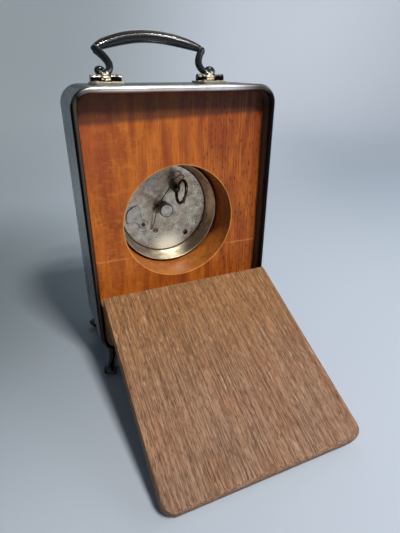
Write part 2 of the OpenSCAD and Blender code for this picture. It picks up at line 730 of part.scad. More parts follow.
// Winding key, setting knob and the fittings of the back cover
ring_tilt = 15;
ring_yaw = 1.5;
hub_top_s = -3.3;
ear_r = 1.45;
ring_foot_s = -4.4;
module ring_frame() {
    in_drum(barrel_pos, ring_foot_s) rotate([0, 0, ring_tilt]) children();
}
module winding_key() {
    color(dark_steel) difference() {
        union() {
            in_drum(barrel_pos, hub_top_s) cylinder(r = hub_r, h = -hub_top_s + rear_plate_s - 0.9);
            ring_frame() rotate([90, 0, 0]) cylinder(r = ear_r, h = 1.8, center = true);
        }
        ring_frame() rotate([90, 0, 0]) cylinder(r = ring_wire_r + 0.12, h = 4, center = true);
        in_drum(barrel_pos, hub_top_s + key_cap) cylinder(r = square_r, h = through);
    }
}
module key_ring() {
    color(dark_steel) ring_frame() rotate([0, ring_yaw, 0]) translate([0, 0, -ring_r]) rotate([0, 90, 0])
        rotate_extrude() translate([ring_r, 0]) circle(ring_wire_r);
}
square_r = 1.1;
key_cap = 1.4;
arbor_end_s = 0.5;
centre_arbor_r = 0.75;
arbor_end_r = 0.5;
knob_face_t = 1;
module set_knob() {
    edge = 0.3;
    color(nickel) in_drum(s = -knob_h) {
        rotate_extrude() polygon([
            [0, 0], [knob_r - edge, 0], [knob_r, edge], [knob_r, knob_h - 0.35],
            [centre_arbor_r + run_gap / 2, knob_h - 0.35],
            [centre_arbor_r + run_gap / 2, knob_face_t], [0, knob_face_t],
        ]);
    }
}
// The bent wire: x and height from the drum's centre, and distance out from the back cover
wire_anchor = [7.3, -10];
wire_points = [
    [7.3, -10, -0.3], [7.2, -9.6, 0.9], [5.9, -5.2, 1.9], [5.3, -1.2, 2.8], [3.9, 0.4, 3.2],
    [4, 2, 3.2], [2.8, 4.1, 3], [0.8, 7, 2.7], [-2.2, 10.7, 2.4], [-3.1, 13.5, 2.4],
    [-5.7, 15.4, 2.4], [-8.3, 16.7, 2.4], [-10.1, 15.9, 2.4], [-9.2, 14.9, 2.4],
];
wire_path = [for (q = smooth(wire_points, 3)) [q[0], q[1], -q[2], wire_r, wire_r]];
module back_wire() { color(dark_steel) in_drum() tube(wire_path, [0.1, 0.1, 1], 8); }
shutter_t = 0.3;
shutter_lobe_r = 2.2;
shutter_pin_r = 0.6;
module regulator_shutter() {
    color(nickel) in_drum(s = -shutter_t - 0.05) difference() {
        union() {
            translate(shutter_pos) cylinder(r = shutter_lobe_r, h = shutter_t);
            linear_extrude(shutter_t) polygon([
                shutter_pos, shutter_pos + [-0.8, 1.9], [11.6, -4.6], [12.2, -3.6], [12.4, -1.3], [12.9, 1.2],
                [13.8, 3.1], [16.2, 2.4], [18.3, 1.1], [19.5, -1], [19.8, -3.4], [19.3, -5.6],
                [17.6, -5.3], [16.1, -5.3], [15, -5.6], [14.2, -6.3], shutter_pos + [1.9, -0.8],
            ]);
        }
        translate(shutter_pos) cylinder(r = shutter_pin_r + run_gap, h = 2 * shutter_t, center = true);
    }
}
module shutter_rivet() {
    color(nickel) in_drum(shutter_pos) {
        translate([0, 0, -shutter_t - 0.4]) cylinder(r = 1, h = 0.3);
        translate([0, 0, -shutter_t - 0.1]) cylinder(r = shutter_pin_r, h = shutter_t + 0.1 + cover_t + 0.1);
    }
}

// Movement plates and pillars
pillar_turns = [20, 62, 190, 255, 318];
pillar_r = 1.1;
pillar_dist = movement_r - pillar_r - 1.7;
train_places = [third_pos, fourth_pos, escape_pos, pallet_pos, balance_pos];
module movement_plate(s) {
    color(brass) in_drum(s = s) difference() {
        cylinder(r = movement_r, h = plate_t);
        for (q = train_places) translate([q[0], q[1], -1]) cylinder(r = pivot_r + run_gap, h = 3);
        translate([barrel_x, barrel_z, -1]) cylinder(r = barrel_arbor_r + run_gap, h = 3);
        translate([0, 0, -1]) cylinder(r = centre_arbor_r + run_gap, h = 3);
        translate([click_pos[0], click_pos[1], -1]) cylinder(r = click_post_r + run_gap, h = 3);
    }
}
module rear_movement_plate() { movement_plate(rear_plate_s); }
module front_movement_plate() { movement_plate(front_plate_s); }
module plate_pillars() {
    color(brass) for (a = pillar_turns) in_drum(polar(pillar_dist, a), inside_s)
        cylinder(r = pillar_r, h = front_plate_s - inside_s);
}

// Mainspring barrel with its spring, arbor, ratchet and click
barrel_arbor_r = 0.9;
barrel_s = inside_s + 0.25;
barrel_h = 2;
barrel_r = barrel_teeth * barrel_module / 2;
barrel_wall_r = barrel_r - 0.9;
flange_t = 0.4;
barrel_bore_gap = 0.05;
module mainspring_barrel() {
    color(brass) in_drum(barrel_pos, barrel_s) difference() {
        union() {
            gear(barrel_teeth, barrel_module, flange_t, barrel_phase);
            cylinder(r = barrel_wall_r, h = barrel_h);
        }
        translate([0, 0, -1]) cylinder(r = barrel_arbor_r + barrel_bore_gap, h = barrel_h + 2);
        translate([0, 0, flange_t]) cylinder(r = barrel_wall_r - 0.4, h = barrel_h);
    }
}
spring_strip = 0.2;
spring_turns = 8;
spring_in = 1.75;
spring_out = barrel_wall_r - 0.55;
spring_steps = 24;
function spiral(offset, turns, r_in, r_out, steps) = [
    for (i = [0:turns * steps])
        polar(r_in + offset + (r_out - r_in) * i / (turns * steps), 360 * i / steps)
];
module spiral_strip(turns, r_in, r_out, thick, steps) {
    out = spiral(thick / 2, turns, r_in, r_out, steps);
    back = spiral(-thick / 2, turns, r_in, r_out, steps);
    polygon(concat(out, [for (i = [len(back) - 1:-1:0]) back[i]]));
}
module mainspring() {
    color(blued_steel) in_drum(barrel_pos, barrel_s + flange_t + free_gap)
        linear_extrude(barrel_h - flange_t - 2 * free_gap)
        spiral_strip(spring_turns, spring_in, spring_out, spring_strip, spring_steps);
}
module barrel_arbor() {
    color(dark_steel) in_drum(barrel_pos) {
        translate([0, 0, hub_top_s + key_cap + run_gap])
            cylinder(r = square_r - 0.02, h = arbor_end_s + 0.2 - hub_top_s - key_cap - run_gap);
        translate([0, 0, arbor_end_s + 0.2]) cylinder(r = barrel_arbor_r, h = motion_s - arbor_end_s - 0.2);
        translate([0, 0, barrel_s + flange_t + 0.1]) cylinder(r = 1.55, h = barrel_h - flange_t - 0.2);
    }
}
ratchet_teeth = 24;
ratchet_r = 4;
ratchet_t = 0.5;
ratchet_s = 0.95;
ratchet_tooth = [[ratchet_r - 0.5, 0], [ratchet_r, 0.08], [ratchet_r - 0.5, 0.98]];
module ratchet_wheel() {
    pitch = 360 / ratchet_teeth;
    color(dark_steel) in_drum(barrel_pos, ratchet_s) difference() {
        linear_extrude(ratchet_t) polygon([
            for (k = [0:ratchet_teeth - 1], q = ratchet_tooth) polar(q[0], (k + q[1]) * pitch)
        ]);
        translate([0, 0, -1]) cylinder(r = barrel_arbor_r + 0.01, h = 3);
    }
}
click_pos = barrel_pos + [-5.3, -2.75];
click_post_r = 0.35;
module click() {
    color(dark_steel) in_drum(click_pos, ratchet_s) {
        linear_extrude(ratchet_t) polygon([
            [-0.8, -0.7], [0.8, -0.7], [1.5, 0.75], [1.35, 1.25], [0.2, 1], [-0.8, 0.9],
        ]);
        cylinder(r = click_post_r, h = rear_plate_s + plate_t - ratchet_s);
    }
}
module click_spring() {
    color(blued_steel) in_drum(click_pos, ratchet_s) {
        linear_extrude(ratchet_t) polygon([[-1.2, -0.6], [-1, -0.6], [-1.1, 3.4], [-1.3, 3.4]]);
        translate([-1.2, 3.9, 0]) cylinder(r = 0.6, h = rear_plate_s - ratchet_s);
    }
}

// Going train
centre_wheel_s = front_plate_s - 0.6;
third_wheel_s = inside_s + 1.15;
fourth_wheel_s = inside_s + 0.3;
escape_wheel_s = inside_s + 1.9;
module centre_arbor() {
    color(dark_steel) in_drum(s = 0) {
        translate([0, 0, knob_face_t + run_gap - knob_h])
            cylinder(r = centre_arbor_r, h = motion_s - knob_face_t - run_gap + knob_h);
        translate([0, 0, motion_s]) cylinder(r = arbor_end_r, h = minute_hand_s + hand_t - motion_s);
    }
}
module centre_wheel() {
    color(brass) in_drum() difference() {
        union() {
            translate([0, 0, inside_s + free_gap]) {
                gear(centre_pinion_teeth, barrel_module, 0.75);
                cylinder(r = 1.15, h = centre_wheel_s - inside_s - free_gap);
            }
            translate([0, 0, centre_wheel_s]) spoked_wheel(centre_teeth, centre_module, wheel_t, 1.4);
        }
        cylinder(r = centre_arbor_r + run_gap, h = through);
    }
}
module third_wheel() {
    color(brass) in_drum(third_pos) {
        arbor_solid();
        translate([0, 0, centre_wheel_s - 0.2]) gear(small_pinion_teeth, centre_module, 0.65, third_phase);
        translate([0, 0, third_wheel_s]) spoked_wheel(third_teeth, third_module, wheel_t, 0.8);
    }
}
module fourth_wheel() {
    color(brass) in_drum(fourth_pos) {
        arbor_solid();
        translate([0, 0, third_wheel_s - 0.2]) gear(small_pinion_teeth, third_module, 0.7, fourth_phase);
        translate([0, 0, fourth_wheel_s]) spoked_wheel(fourth_teeth, fourth_module, wheel_t, 0.6);
    }
}
escape_tooth = [[escape_r - 0.6, 0], [escape_r, 0.2], [escape_r, 0.3], [escape_r - 0.6, 0.5]];
module escape_wheel() {
    pitch = 360 / escape_teeth;
    color(brass) in_drum(escape_pos) {
        arbor_solid(0.22);
        translate([0, 0, fourth_wheel_s - 0.15]) gear(escape_pinion_teeth, fourth_module, 0.6, escape_phase);
        translate([0, 0, escape_wheel_s]) rotate([0, 0, pallet_turn + pitch / 2])
            linear_extrude(wheel_t) polygon([
                for (k = [0:escape_teeth - 1], q = escape_tooth) polar(q[0], (k + q[1]) * pitch)
            ]);
    }
}
module pallet_lever() {
    color(dark_steel) in_drum(pallet_pos) {
        arbor_solid(0.22);
        translate([0, 0, escape_wheel_s]) rotate([0, 0, pallet_turn]) linear_extrude(wheel_t) {
            polygon([[-0.3, -1.9], [-0.3, 1.9], [0.3, 1.9], [0.3, -1.9]]);
            for (s = [-1, 1]) polygon([
                [0.25, s * 1.9], [-1.35, s * 1.9], [-1.35, s * 1.65], [-0.2, s * 1.4], [0.25, s * 1.4],
            ]);
            polygon([[0, -0.25], [2.3, -0.2], [2.3, 0.2], [0, 0.25]]);
        }
    }
}

// Balance
balance_s = inside_s + 0.9;
module balance_wheel() {
    color(brass) in_drum(balance_pos) {
        arbor_solid(0.25);
        translate([0, 0, balance_s]) {
            ring(balance_r, balance_r - 0.6, 0.5);
            rotate([0, 0, 35]) translate([-balance_r + 0.3, -0.3, 0]) cube([2 * balance_r - 0.6, 0.6, 0.4]);
            cylinder(r = 0.8, h = 0.5);
        }
    }
}
module hairspring() {
    color(blued_steel) in_drum(balance_pos, balance_s + 1) linear_extrude(0.25)
        spiral_strip(8, 0.55, 2.8, 0.1, 18);
}
module regulator_arm() {
    color(dark_steel) in_drum(balance_pos, front_plate_s - 0.45) difference() {
        union() {
            cylinder(r = 0.9, h = 0.35);
            linear_extrude(0.35) polygon([[-0.4, 0], [-0.25, -4.6], [0.25, -4.6], [0.4, 0]]);
        }
        translate([0, 0, -1]) cylinder(r = 0.25 + free_gap, h = 3);
    }
}

// Motion work
cannon_pipe_r = 0.8;
hour_pipe_r = 1.35;
module cannon_pinion() {
    color(dark_steel) in_drum(s = motion_s + 0.15) difference() {
        union() {
            gear(cannon_teeth, cannon_module, 0.5);
            cylinder(r = cannon_pipe_r, h = minute_hand_s + hand_t - motion_s - 0.15);
        }
        translate([0, 0, -1]) cylinder(r = arbor_end_r + hand_fit, h = through);
    }
}
module minute_wheel() {
    color(brass) in_drum(minute_pos, motion_s + 0.2) {
        spoked_wheel(minute_teeth, cannon_module, 0.4, 1.5, minute_phase);
        gear(minute_pinion_teeth, hour_module, 1.1);
        translate([0, 0, -0.15]) cylinder(r = 0.3, h = 0.3);
    }
}
module hour_wheel() {
    color(brass) in_drum(s = motion_s + 0.8) difference() {
        union() {
            gear(hour_teeth, hour_module, 0.4, hour_phase);
            cylinder(r = hour_pipe_r, h = hour_hand_s + hand_t - motion_s - 0.8);
        }
        translate([0, 0, -1]) cylinder(r = cannon_pipe_r + run_gap, h = through);
    }
}

place() case_band();
place() front_plate();
place() carcass();
place() wood_block();
place() back_rail();
place() back_door();
place() rail_hinge_leaves();
place() door_hinge_leaves();
place() door_hinge_pins();
place() rail_hinge_screws();
place() door_hinge_screws();
place() handle();
place() handle_bracket_left();
place() handle_bracket_right();
place() handle_pins();
place() bracket_screws();
place() foot_back_left();
place() foot_back_right();
place() foot_front_left();
place() foot_front_right();
place() foot_studs();
place() drum_case();
place() back_cover();
place() cover_screw();
place() bezel();
place() dial_glass();
place() dial();
place() hour_hand();
place() minute_hand();
place() winding_key();
place() key_ring();
place() set_knob();
place() back_wire();
place() regulator_shutter();
place() shutter_rivet();
place() rear_movement_plate();
place() front_movement_plate();
place() plate_pillars();
place() mainspring_barrel();
place() mainspring();
place() barrel_arbor();
place() ratchet_wheel();
place() click();
place() click_spring();
place() centre_arbor();
place() centre_wheel();
place() third_wheel();
place() fourth_wheel();
place() escape_wheel();
place() pallet_lever();
place() balance_wheel();
place() hairspring();
place() regulator_arm();
place() cannon_pinion();
place() minute_wheel();
place() hour_wheel();
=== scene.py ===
"""Looks of a travelling clock in a silver-covered wooden case,
seen from behind with its back door folded down."""

import json
import math
import bmesh
import bpy
import numpy as np
from mathutils import Matrix, Vector


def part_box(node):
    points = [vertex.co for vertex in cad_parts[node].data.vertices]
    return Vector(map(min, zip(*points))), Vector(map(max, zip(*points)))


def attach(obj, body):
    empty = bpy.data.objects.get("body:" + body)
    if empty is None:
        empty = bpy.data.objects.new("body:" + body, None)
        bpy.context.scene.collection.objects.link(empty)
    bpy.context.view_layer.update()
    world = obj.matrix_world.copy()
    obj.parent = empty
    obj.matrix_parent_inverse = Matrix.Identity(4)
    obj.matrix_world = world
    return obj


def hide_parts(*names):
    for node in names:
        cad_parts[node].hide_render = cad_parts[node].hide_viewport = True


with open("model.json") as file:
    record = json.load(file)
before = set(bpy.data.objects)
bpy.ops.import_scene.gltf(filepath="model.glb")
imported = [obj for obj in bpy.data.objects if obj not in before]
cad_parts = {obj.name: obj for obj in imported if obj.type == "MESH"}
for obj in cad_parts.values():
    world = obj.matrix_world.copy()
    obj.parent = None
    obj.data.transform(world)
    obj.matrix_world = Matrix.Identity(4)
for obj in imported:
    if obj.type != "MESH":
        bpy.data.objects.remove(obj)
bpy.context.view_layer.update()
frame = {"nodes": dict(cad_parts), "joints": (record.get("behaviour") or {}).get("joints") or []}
mm = 0.001

# The camera stands behind the clock, above its top edge and a little to one side,
# about as far off as a telephone is held for a close picture.
camera = bpy.data.objects.new("camera", bpy.data.cameras.new("camera"))
bpy.context.scene.collection.objects.link(camera)
bpy.context.scene.camera = camera
camera.location = (60.13 * mm, 135.61 * mm, 130.63 * mm)
camera.rotation_euler = [math.radians(turn) for turn in (63.4032, -0.1568, 156.615)]
camera.data.sensor_width = 36.0
camera.data.lens = 26.88
camera.data.clip_start = 0.005
camera.data.clip_end = 20.0

# The studio is a pale blue-grey paper bowl, flat under the clock and curving up all round,
# with a small lamp overhead and a window's soft light from the right. Shade is painted into the paper:
# darker to the picture's left, in patches to the right, and as the clock's shadow on the floor.
class Value:
    """A value in a finish's shader. Arithmetic on it adds Math nodes."""

    def __init__(self, finish, socket):
        self.finish, self.socket = finish, socket

    def math(self, operation, *values):
        return self.finish.node("ShaderNodeMath", {"operation": operation}, dict(enumerate(values)))

    def __add__(self, other):
        return self.math("ADD", self, other)

    def __radd__(self, other):
        return self.math("ADD", other, self)

    def __sub__(self, other):
        return self.math("SUBTRACT", self, other)

    def __rsub__(self, other):
        return self.math("SUBTRACT", other, self)

    def __mul__(self, other):
        return self.math("MULTIPLY", self, other)

    def __rmul__(self, other):
        return self.math("MULTIPLY", other, self)

    def __abs__(self):
        return self.math("ABSOLUTE", self)


class Finish:
    """A procedural material. Its patterns lie in the object's own place, in metres."""

    def __init__(self, name, **constants):
        self.material = bpy.data.materials.new(name)
        self.material.use_nodes = True
        self.tree = self.material.node_tree
        self.shader = self.tree.nodes["Principled BSDF"]
        for key, value in constants.items():
            self.feed(key.replace("_", " "), value)
        self.place = self.node("ShaderNodeTexCoord", out="Object")

    def join(self, socket, value):
        if isinstance(value, Value):
            self.tree.links.new(value.socket, socket)
        else:
            socket.default_value = value

    def node(self, kind, settings=None, sockets=None, out=0):
        made = self.tree.nodes.new(kind)
        for key, value in (settings or {}).items():
            setattr(made, key, value)
        for key, value in (sockets or {}).items():
            self.join(made.inputs[key], value)
        return Value(self, made.outputs[out])

    def feed(self, socket, value):
        self.join(self.shader.inputs[socket], value)

    def vector(self, operation, *values, out=0):
        return self.node("ShaderNodeVectorMath", {"operation": operation}, dict(enumerate(values)), out)

    def axis(self, name, place=None):
        """The X, Y or Z of a place, by default the object's own."""
        return self.node("ShaderNodeSeparateXYZ", sockets={0: place or self.place}, out=name)

    def turned(self, angle, pivot):
        """The object's own place turned about X at a pivot, which becomes its zero."""
        return self.node("ShaderNodeVectorRotate", {"rotation_type": "X_AXIS"},
                         {"Vector": self.vector("SUBTRACT", self.place, pivot), "Angle": angle})

    def noise(self, size, stretch=(1, 1, 1), place=None, detail=3.0, wander=0.0):
        """Soft noise from 0 to 1 whose lumps are about size across, times stretch."""
        spot = self.vector("MULTIPLY", place or self.place, [1 / (size * s) for s in stretch])
        return self.node("ShaderNodeTexNoise", {"noise_dimensions": "3D"},
                         {"Vector": spot, "Scale": 1.0, "Detail": detail, "Distortion": wander})

    def step(self, value, low, high):
        """0 below low, 1 above high, smooth between."""
        return self.node("ShaderNodeMapRange", {"interpolation_type": "SMOOTHSTEP"},
                         {"Value": value, "From Min": low, "From Max": high})

    def near(self, point, inner, outer, stretch=(1, 1, 1)):
        """1 within inner of a point, 0 beyond outer, smooth between."""
        apart = self.vector("MULTIPLY", self.vector("SUBTRACT", self.place, point), stretch)
        return 1 - self.step(self.vector("LENGTH", apart, out="Value"), inner, outer)

    def mix(self, share, first, second):
        """The first colour where share is 0, the second where it is 1."""
        return self.node("ShaderNodeMix", {"data_type": "RGBA"}, {0: share, 6: first, 7: second}, out=2)

    def bump(self, height, depth, strength=1.0):
        sockets = {"Strength": strength, "Distance": depth, "Height": height}
        self.feed("Normal", self.node("ShaderNodeBump", sockets=sockets))


def tone(red, green, blue):
    """A colour seen as these 0 to 255 values, as the shader takes it."""
    seen = [channel / 255 for channel in (red, green, blue)]
    return [c / 12.92 if c <= 0.04045 else ((c + 0.055) / 1.055) ** 2.4 for c in seen] + [1.0]


floor_flat, floor_bend, floor_wall = 0.75, 0.5, 1.6
profile = [(0.0, 0.0), (floor_flat / 2, 0.0), (floor_flat, 0.0)]
profile += [(floor_flat + floor_bend * math.sin(a), floor_bend * (1 - math.cos(a)))
            for a in np.linspace(0, math.pi / 2, 13)[1:]]
profile.append((floor_flat + floor_bend, floor_wall))
floor_sides = 72
points = [(r * math.cos(2 * math.pi * k / floor_sides), r * math.sin(2 * math.pi * k / floor_sides), z)
          for r, z in profile for k in range(floor_sides)]
faces = [(i * floor_sides + k, i * floor_sides + (k + 1) % floor_sides,
          (i + 1) * floor_sides + (k + 1) % floor_sides, (i + 1) * floor_sides + k)
         for i in range(len(profile) - 1) for k in range(floor_sides)]
floor_mesh = bpy.data.meshes.new("paper_bowl")
floor_mesh.from_pydata(points, [], faces)
floor_mesh.polygons.foreach_set("use_smooth", [True] * len(faces))
floor = bpy.data.objects.new("paper_bowl", floor_mesh)
bpy.context.scene.collection.objects.link(floor)
paper = Finish("paper", Roughness=0.9)
paper.shader.inputs["Specular IOR Level"].default_value = 0.15
to_right = paper.axis("X") * -0.918 + paper.axis("Y") * 0.397
away = paper.axis("Y") * -1
# Painted shade: the paper is darker to the picture's left.
paper_left, paper_right = tone(143, 152, 158), tone(178, 187, 199)
sheet = paper.mix(paper.step(to_right, -0.3, 0.1), paper_left, paper_right)
# Painted shade in patches on the paper to the right, behind and in front of the clock.
painted_shade_behind_right = paper.step(away, 0.0, 0.3) * (1 - paper.step(away, 0.6, 1.2)) * paper.step(to_right, 0.0, 0.25)
sheet = paper.mix(painted_shade_behind_right * 0.8, sheet, tone(150, 161, 174))
painted_shade_near_right = paper.step(to_right, 0.1, 0.3) * (1 - paper.step(away, 0.1, 0.35))
sheet = paper.mix(painted_shade_near_right * 0.5, sheet, tone(162, 172, 186))
# Painted shadow of the clock on the floor, to its left and behind.
painted_clock_shadow = paper.near((0.15, -0.14, 0.0), 0.04, 0.2, (0.9, 0.9, 1.0))
paper.feed("Base Color", paper.mix(painted_clock_shadow * 0.8, sheet, tone(96, 106, 108)))
seen_directly = paper.node("ShaderNodeLightPath", out="Is Camera Ray")
# The far wall glows to the camera alone; its glow is painted darker to the picture's left as shade.
glow = paper.mix(paper.step(to_right, -0.5, 0.4), tone(106, 112, 114), tone(160, 164, 170))
away = paper.step(away, 0.1, 0.95)
paper.feed("Emission Color", paper.mix(seen_directly * away, [0.0, 0.0, 0.0, 1.0], glow))
paper.feed("Emission Strength", 1.0)
floor_mesh.materials.append(paper.material)


def lamp(name, place, size, power, colour):
    """A square soft lamp aimed at the middle of the case."""
    aim = Vector((0, 0, 0.06)) - Vector(place)
    light = bpy.data.lights.new(name, "AREA")
    light.size, light.energy, light.color = size, power, colour
    made = bpy.data.objects.new(name, light)
    bpy.context.scene.collection.objects.link(made)
    made.location = place
    made.rotation_euler = aim.to_track_quat("-Z", "Y").to_euler()


lamp("overhead", (-0.16, 0.55, 0.92), 0.16, 11.5, (1.0, 0.97, 0.93))
lamp("window", (-0.8, 0.25, 0.5), 0.6, 3.2, (0.93, 0.97, 1.0))
lamp("behind", (-0.2, -0.6, 0.6), 0.4, 0.8, (0.95, 0.98, 1.0))
world = bpy.data.worlds.new("room")
bpy.context.scene.world = world
world.use_nodes = True
world.node_tree.nodes["Background"].inputs["Color"].default_value = tone(196, 206, 216)
world.node_tree.nodes["Background"].inputs["Strength"].default_value = 0.24
bpy.context.scene.view_settings.view_transform = "Standard"

# The band is thin silver sheet bent round the case's sides and rolled into a bead at the back rim.
# Light is painted into its colour: a highlight along the bead's top, fading towards its ends, dark
# reflections with thin light, brown and black lines on the bead's sides, a line of shade in the fold beside
# the bead, sides darker lower down as reflection, and a darker top sheet as shade.
weld_gap = 0.002 * mm
flat_turn, sharp_turn = math.radians(0.6), math.radians(28)


def dress(nodes, finish, edge=0.0, rounds=2):
    """Gives the CAD pieces a finish and small rounded edges of the width edge."""
    for name in nodes:
        piece = frame["nodes"][name]
        piece.data.materials.clear()
        piece.data.materials.append(finish.material)
        piece.data.polygons.foreach_set("use_smooth", [True] * len(piece.data.polygons))
        weld = piece.modifiers.new("weld", "WELD")
        weld.merge_threshold = weld_gap
        flats = piece.modifiers.new("flats", "DECIMATE")
        flats.decimate_type = "DISSOLVE"
        flats.angle_limit = flat_turn
        if edge:
            bevel = piece.modifiers.new("edges", "BEVEL")
            bevel.width, bevel.segments = edge, rounds
            bevel.limit_method, bevel.angle_limit = "ANGLE", sharp_turn
        normals = piece.modifiers.new("normals", "WEIGHTED_NORMAL")
        normals.keep_sharp = True


band_low, band_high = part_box("case_band")
silver_band = Finish("silver_band", Metallic=1.0)
cloud = silver_band.noise(9 * mm, (1, 1, 1.6), detail=4.0)
scratch = silver_band.step(silver_band.noise(0.35 * mm, (1, 14, 1), detail=2.0), 0.62, 0.7)
band_x, band_z = silver_band.axis("X"), silver_band.axis("Z")
behind_rim = silver_band.axis("Y") * -1 + band_high.y
bead = 1 - silver_band.step(behind_rim, 1.0 * mm, 1.35 * mm)
# Painted shade: a dark line in the fold beside the bead.
fold_shade_line = silver_band.step(behind_rim, 0.9 * mm, 1.2 * mm)
fold_shade_line = fold_shade_line * (1 - silver_band.step(behind_rim, 1.6 * mm, 2.0 * mm))
# Painted reflection: the sides are darker lower down.
height = silver_band.step(band_z, band_low.z, band_high.z)
side_reflection_colour = silver_band.mix(height, tone(92, 96, 98), tone(176, 182, 188))
side_reflection_colour = silver_band.mix(silver_band.step(cloud, 0.4, 0.75) * 0.35, side_reflection_colour, tone(190, 194, 196))
# Painted shade: the top sheet is darker.
top_sheet_shade = silver_band.step(band_z, band_high.z - 1.2 * mm, band_high.z - 0.8 * mm)
side_reflection_colour = silver_band.mix(top_sheet_shade, side_reflection_colour, tone(104, 106, 98))
on_top = silver_band.step(band_z, band_high.z - 4 * mm, band_high.z - 1.4 * mm)
# Painted reflections on the bead's sides: dark, with thin light, brown and black lines.
side_bead_reflection = tone(30, 27, 26)
for start, end, colour in ((-41.6, -42.1, tone(196, 198, 200)), (39.9, 40.3, tone(92, 80, 70)),
                           (41.3, 41.9, tone(20, 19, 19))):
    side_bead_reflection = silver_band.mix(silver_band.step(band_x, start * mm, end * mm), side_bead_reflection, colour)
# Painted highlight along the bead's top, darker towards its ends.
bead_top_highlight = silver_band.mix(silver_band.step(cloud, 0.35, 0.65), tone(232, 226, 220), tone(250, 248, 244))
highlight_ends = silver_band.step(abs(band_x - 3 * mm), 22 * mm, 38 * mm)
bead_top_highlight = silver_band.mix(highlight_ends, bead_top_highlight, tone(92, 86, 80))
rim_colour = silver_band.mix(bead, side_reflection_colour, silver_band.mix(on_top, side_bead_reflection, bead_top_highlight))
silver_band.feed("Base Color", silver_band.mix(fold_shade_line * 0.8, rim_colour, tone(22, 20, 20)))
silver_band.feed("Roughness", 0.2 + cloud * 0.14 + scratch * 0.12 + bead * 0.08)
silver_band.bump(silver_band.noise(14 * mm, detail=2.0) + scratch * 0.01, 0.25 * mm, 0.6)
dress(["case_band"], silver_band)


# The front plate is the same silver, pressed with a rounded border and kept polished,
# and the glass's bezel is turned in it.
bright_silver = Finish("bright_silver", Metallic=1.0)
cloud = bright_silver.noise(6 * mm, detail=4.0)
haze = bright_silver.step(bright_silver.noise(1.1 * mm, detail=3.0), 0.58, 0.75)
dulled = haze * 0.6 + cloud * 0.2
bright_silver.feed("Base Color", bright_silver.mix(dulled, tone(214, 211, 205), tone(128, 120, 108)))
bright_silver.feed("Roughness", 0.14 + cloud * 0.12 + haze * 0.18)
bright_silver.bump(bright_silver.noise(0.5 * mm, (1, 1, 9), detail=2.0), 0.02 * mm, 0.5)
dress(["front_plate"], bright_silver)
dress(["bezel"], bright_silver, 0.12 * mm)


# The carcass is a thin box of pine, stained almost black. The silver is bent round it and the wood
# block is fixed in it, so that only a narrow border of it shows inside the recess.
stained_wood = Finish("stained_wood")
stain = stained_wood.noise(1.2 * mm, (1, 12, 1), detail=4.0)
stained_wood.feed("Base Color", stained_wood.mix(stain, tone(52, 42, 38), tone(88, 70, 60)))
stained_wood.feed("Roughness", 0.5 + stain * 0.25)
stained_wood.bump(stain, 0.05 * mm, 0.5)
dress(["carcass"], stained_wood, 0.1 * mm)


# The block that holds the movement is straight-grained hardwood, bored through and varnished orange.
# Fine dark lines run up its right half, the left is paler and curlier, and a pale scuff crosses each
# side of the bore. A painted shadow darkens the top under the bead, the bore's wall is painted lighter
# lower down as lit from above, and a golden line is painted along the bore's sharp edge as a highlight.
varnished_wood = Finish("varnished_wood", Coat_Roughness=0.25)
varnished_wood.feed("Specular IOR Level", 0.25)
wood_x, wood_z = varnished_wood.axis("X"), varnished_wood.axis("Z")
on_right = 1 - varnished_wood.step(wood_x, -26 * mm, 4 * mm)
on_left = varnished_wood.step(wood_x, -4 * mm, 30 * mm)
broad = varnished_wood.noise(5 * mm, (1, 1, 6), detail=3.0, wander=0.4)
growth = varnished_wood.noise(0.6 * mm, (1, 1, 44), detail=1.0, wander=0.1)
growth_line = varnished_wood.step(growth, 0.5, 0.66)
fine = varnished_wood.noise(0.4 * mm, (1, 1, 16), detail=3.0)
pore = varnished_wood.step(varnished_wood.noise(0.42 * mm, (1, 1, 6), detail=1.0), 0.6, 0.69)
blotch = varnished_wood.step(varnished_wood.noise(2.2 * mm, (1, 1, 1.4), detail=3.0), 0.66, 0.78)
curl = varnished_wood.step(varnished_wood.noise(3.4 * mm, (1, 1, 0.45), detail=4.0, wander=0.8), 0.46, 0.7)
wood = varnished_wood.mix(varnished_wood.step(broad, 0.3, 0.7), tone(144, 66, 20), tone(196, 108, 32))
wood = varnished_wood.mix(varnished_wood.step(fine, 0.35, 0.7) * 0.45, wood, tone(134, 58, 18))
wood = varnished_wood.mix(growth_line * (0.14 + on_right * 0.56), wood, tone(92, 40, 16))
wood = varnished_wood.mix(curl * on_left * 0.22, wood, tone(220, 140, 56))
wood = varnished_wood.mix(pore * (0.25 + on_right * 0.5), wood, tone(62, 28, 14))
wood = varnished_wood.mix(blotch * 0.4, wood, tone(92, 42, 20))
red_corner = varnished_wood.step(wood_x, 24 * mm, 40 * mm) * varnished_wood.step(wood_z, 72 * mm, 108 * mm)
wood = varnished_wood.mix(red_corner * 0.6, wood, tone(134, 54, 34))
# Painted shadow: a dark band under the top bead, as the rim's shadow on the block.
painted_top_shadow = varnished_wood.step(wood_z + wood_x * 0.03, 110.9 * mm, 113.2 * mm)
wood = varnished_wood.mix(painted_top_shadow * 0.68, wood, tone(40, 24, 19))
bore_radius, bore_height, scuff_low = 26 * mm, 66.9 * mm, 53.2 * mm
face_on = (1.0, 0.0, 1.0)


def round_bore(inner, outer):
    """1 within inner of the bore's wall, 0 beyond outer, in millimetres outwards from the wall."""
    middle = (0.0, 0.0, bore_height)
    return varnished_wood.near(middle, bore_radius + inner * mm, bore_radius + outer * mm, face_on)


